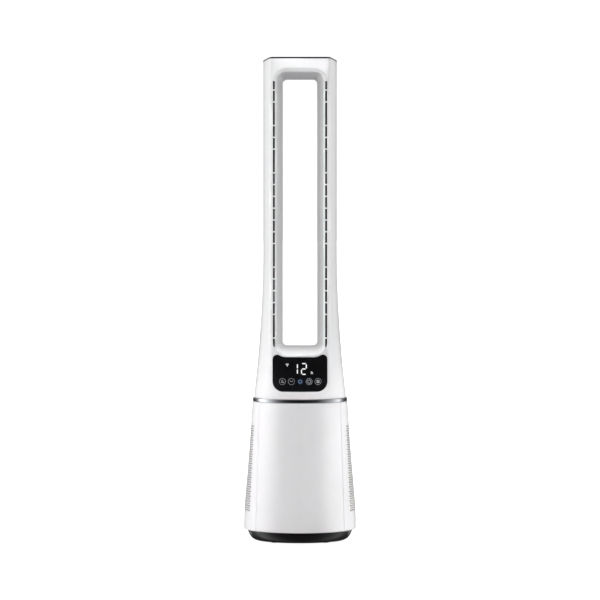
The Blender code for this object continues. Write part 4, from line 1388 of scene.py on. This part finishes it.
def surroundings():
    world = World("studio")
    parts = world.add("ShaderNodeSeparateXYZ")
    world.link(world.add("ShaderNodeTexCoord").outputs["Generated"], parts.inputs[0])
    x, y, z = parts.outputs
    azimuth = world.math("ARCTAN2", x, world.math("MULTIPLY", y, -1.0))
    level = world.math("SUBTRACT", 1.0, world.math("MULTIPLY", z, z))
    level = world.math("SQRT", world.math("MAXIMUM", level, 0.0))
    choose = world.add("ShaderNodeMixShader")
    path = world.add("ShaderNodeLightPath")
    matt = path.outputs["Is Diffuse Ray"]
    total = world.math("MULTIPLY", world.round_the_object(azimuth), level)
    total = world.math("MULTIPLY", total, world.share(matt, 1.0, SOFT_SHARE))
    total = world.math("ADD", total, AMBIENT)
    for side, strength in ((1, OVERHEAD), (-1, BELOW)):
        above = world.math("MAXIMUM", world.math("SUBTRACT", world.math("MULTIPLY", z, side), HORIZON), 0.0)
        above = world.math("MULTIPLY", above, strength)
        total = world.math("ADD", total, world.math("MULTIPLY", above, world.share(matt, SKY_GLOSS, 1.0)))
    world.link(path.outputs["Is Camera Ray"], choose.inputs[0])
    world.link(world.background(total), choose.inputs[1])
    world.link(world.background(BACKDROP), choose.inputs[2])
    world.link(choose.outputs[0], world.add("ShaderNodeOutputWorld").inputs[0])


def area_light(name, place, target, size, power, spread):
    data = bpy.data.lights.new(name, "AREA")
    data.shape = "RECTANGLE"
    data.size, data.size_y = size
    data.energy = power
    data.spread = math.radians(spread)
    light = bpy.data.objects.new(name, data)
    bpy.context.scene.collection.objects.link(light)
    light.visible_glossy = False
    light.location = place
    light.rotation_euler = towards(place, target)
    return light


def towards(place, target):
    """The rotation of a light or camera that looks from a place at a target."""
    return (Vector(target) - Vector(place)).to_track_quat("-Z", "Y").to_euler()


def rim_cards():
    """Puts up the cards behind the object, which all polished surfaces but the ring reflect."""
    receivers = bpy.data.collections.new("rim_card_receivers")
    receivers.objects.link(bpy.data.objects["trim_ring"])
    receivers.collection_objects[0].light_linking.link_state = "EXCLUDE"
    for name, place, power in RIM_CARDS:
        card = area_light(name, place, (0, 0, 0.5), RIM_CARD_SIZE, power, 180)
        card.visible_glossy = True
        card.visible_diffuse = False
        card.light_linking.receiver_collection = receivers


def studio():
    bm = bmesh.new()
    bmesh.ops.create_grid(bm, x_segments=1, y_segments=1, size=FLOOR_SIZE)
    floor = from_bmesh("floor", bm)
    floor.location.z = -FLOOR_DROP
    nodes = Nodes("floor_white", (0.5, 0.5, 0.5), 0.9)
    nodes.set("Specular IOR Level", 0.0)
    nodes.set("Emission Color", (1, 1, 1, 1))
    nodes.set("Emission Strength", 0.93)
    floor.data.materials.append(nodes.material)
    floor.visible_diffuse = False
    floor.visible_glossy = False
    floor.visible_shadow = False
    surroundings()
    for light in AREA_LIGHTS:
        area_light(*light)
    rim_cards()
    bpy.context.scene.view_settings.view_transform = "Standard"


def camera():
    data = bpy.data.cameras.new("camera")
    data.sensor_width = 36
    data.lens = CAMERA_LENS
    data.clip_end = 200
    obj = bpy.data.objects.new("camera", data)
    bpy.context.scene.collection.objects.link(obj)
    obj.location = CAMERA_PLACE
    obj.rotation_euler = towards(CAMERA_PLACE, CAMERA_TARGET)
    bpy.context.scene.camera = obj


dress_cad_nodes()
head_front()
head_rear()
cap()
window_frame()
slot_shade_troughs()
display_lens()
display_marks()
swivel_ring()
base_front()
base_rear()
vent_shade_sheet()
tray()
inner_pieces()
studio()
camera()
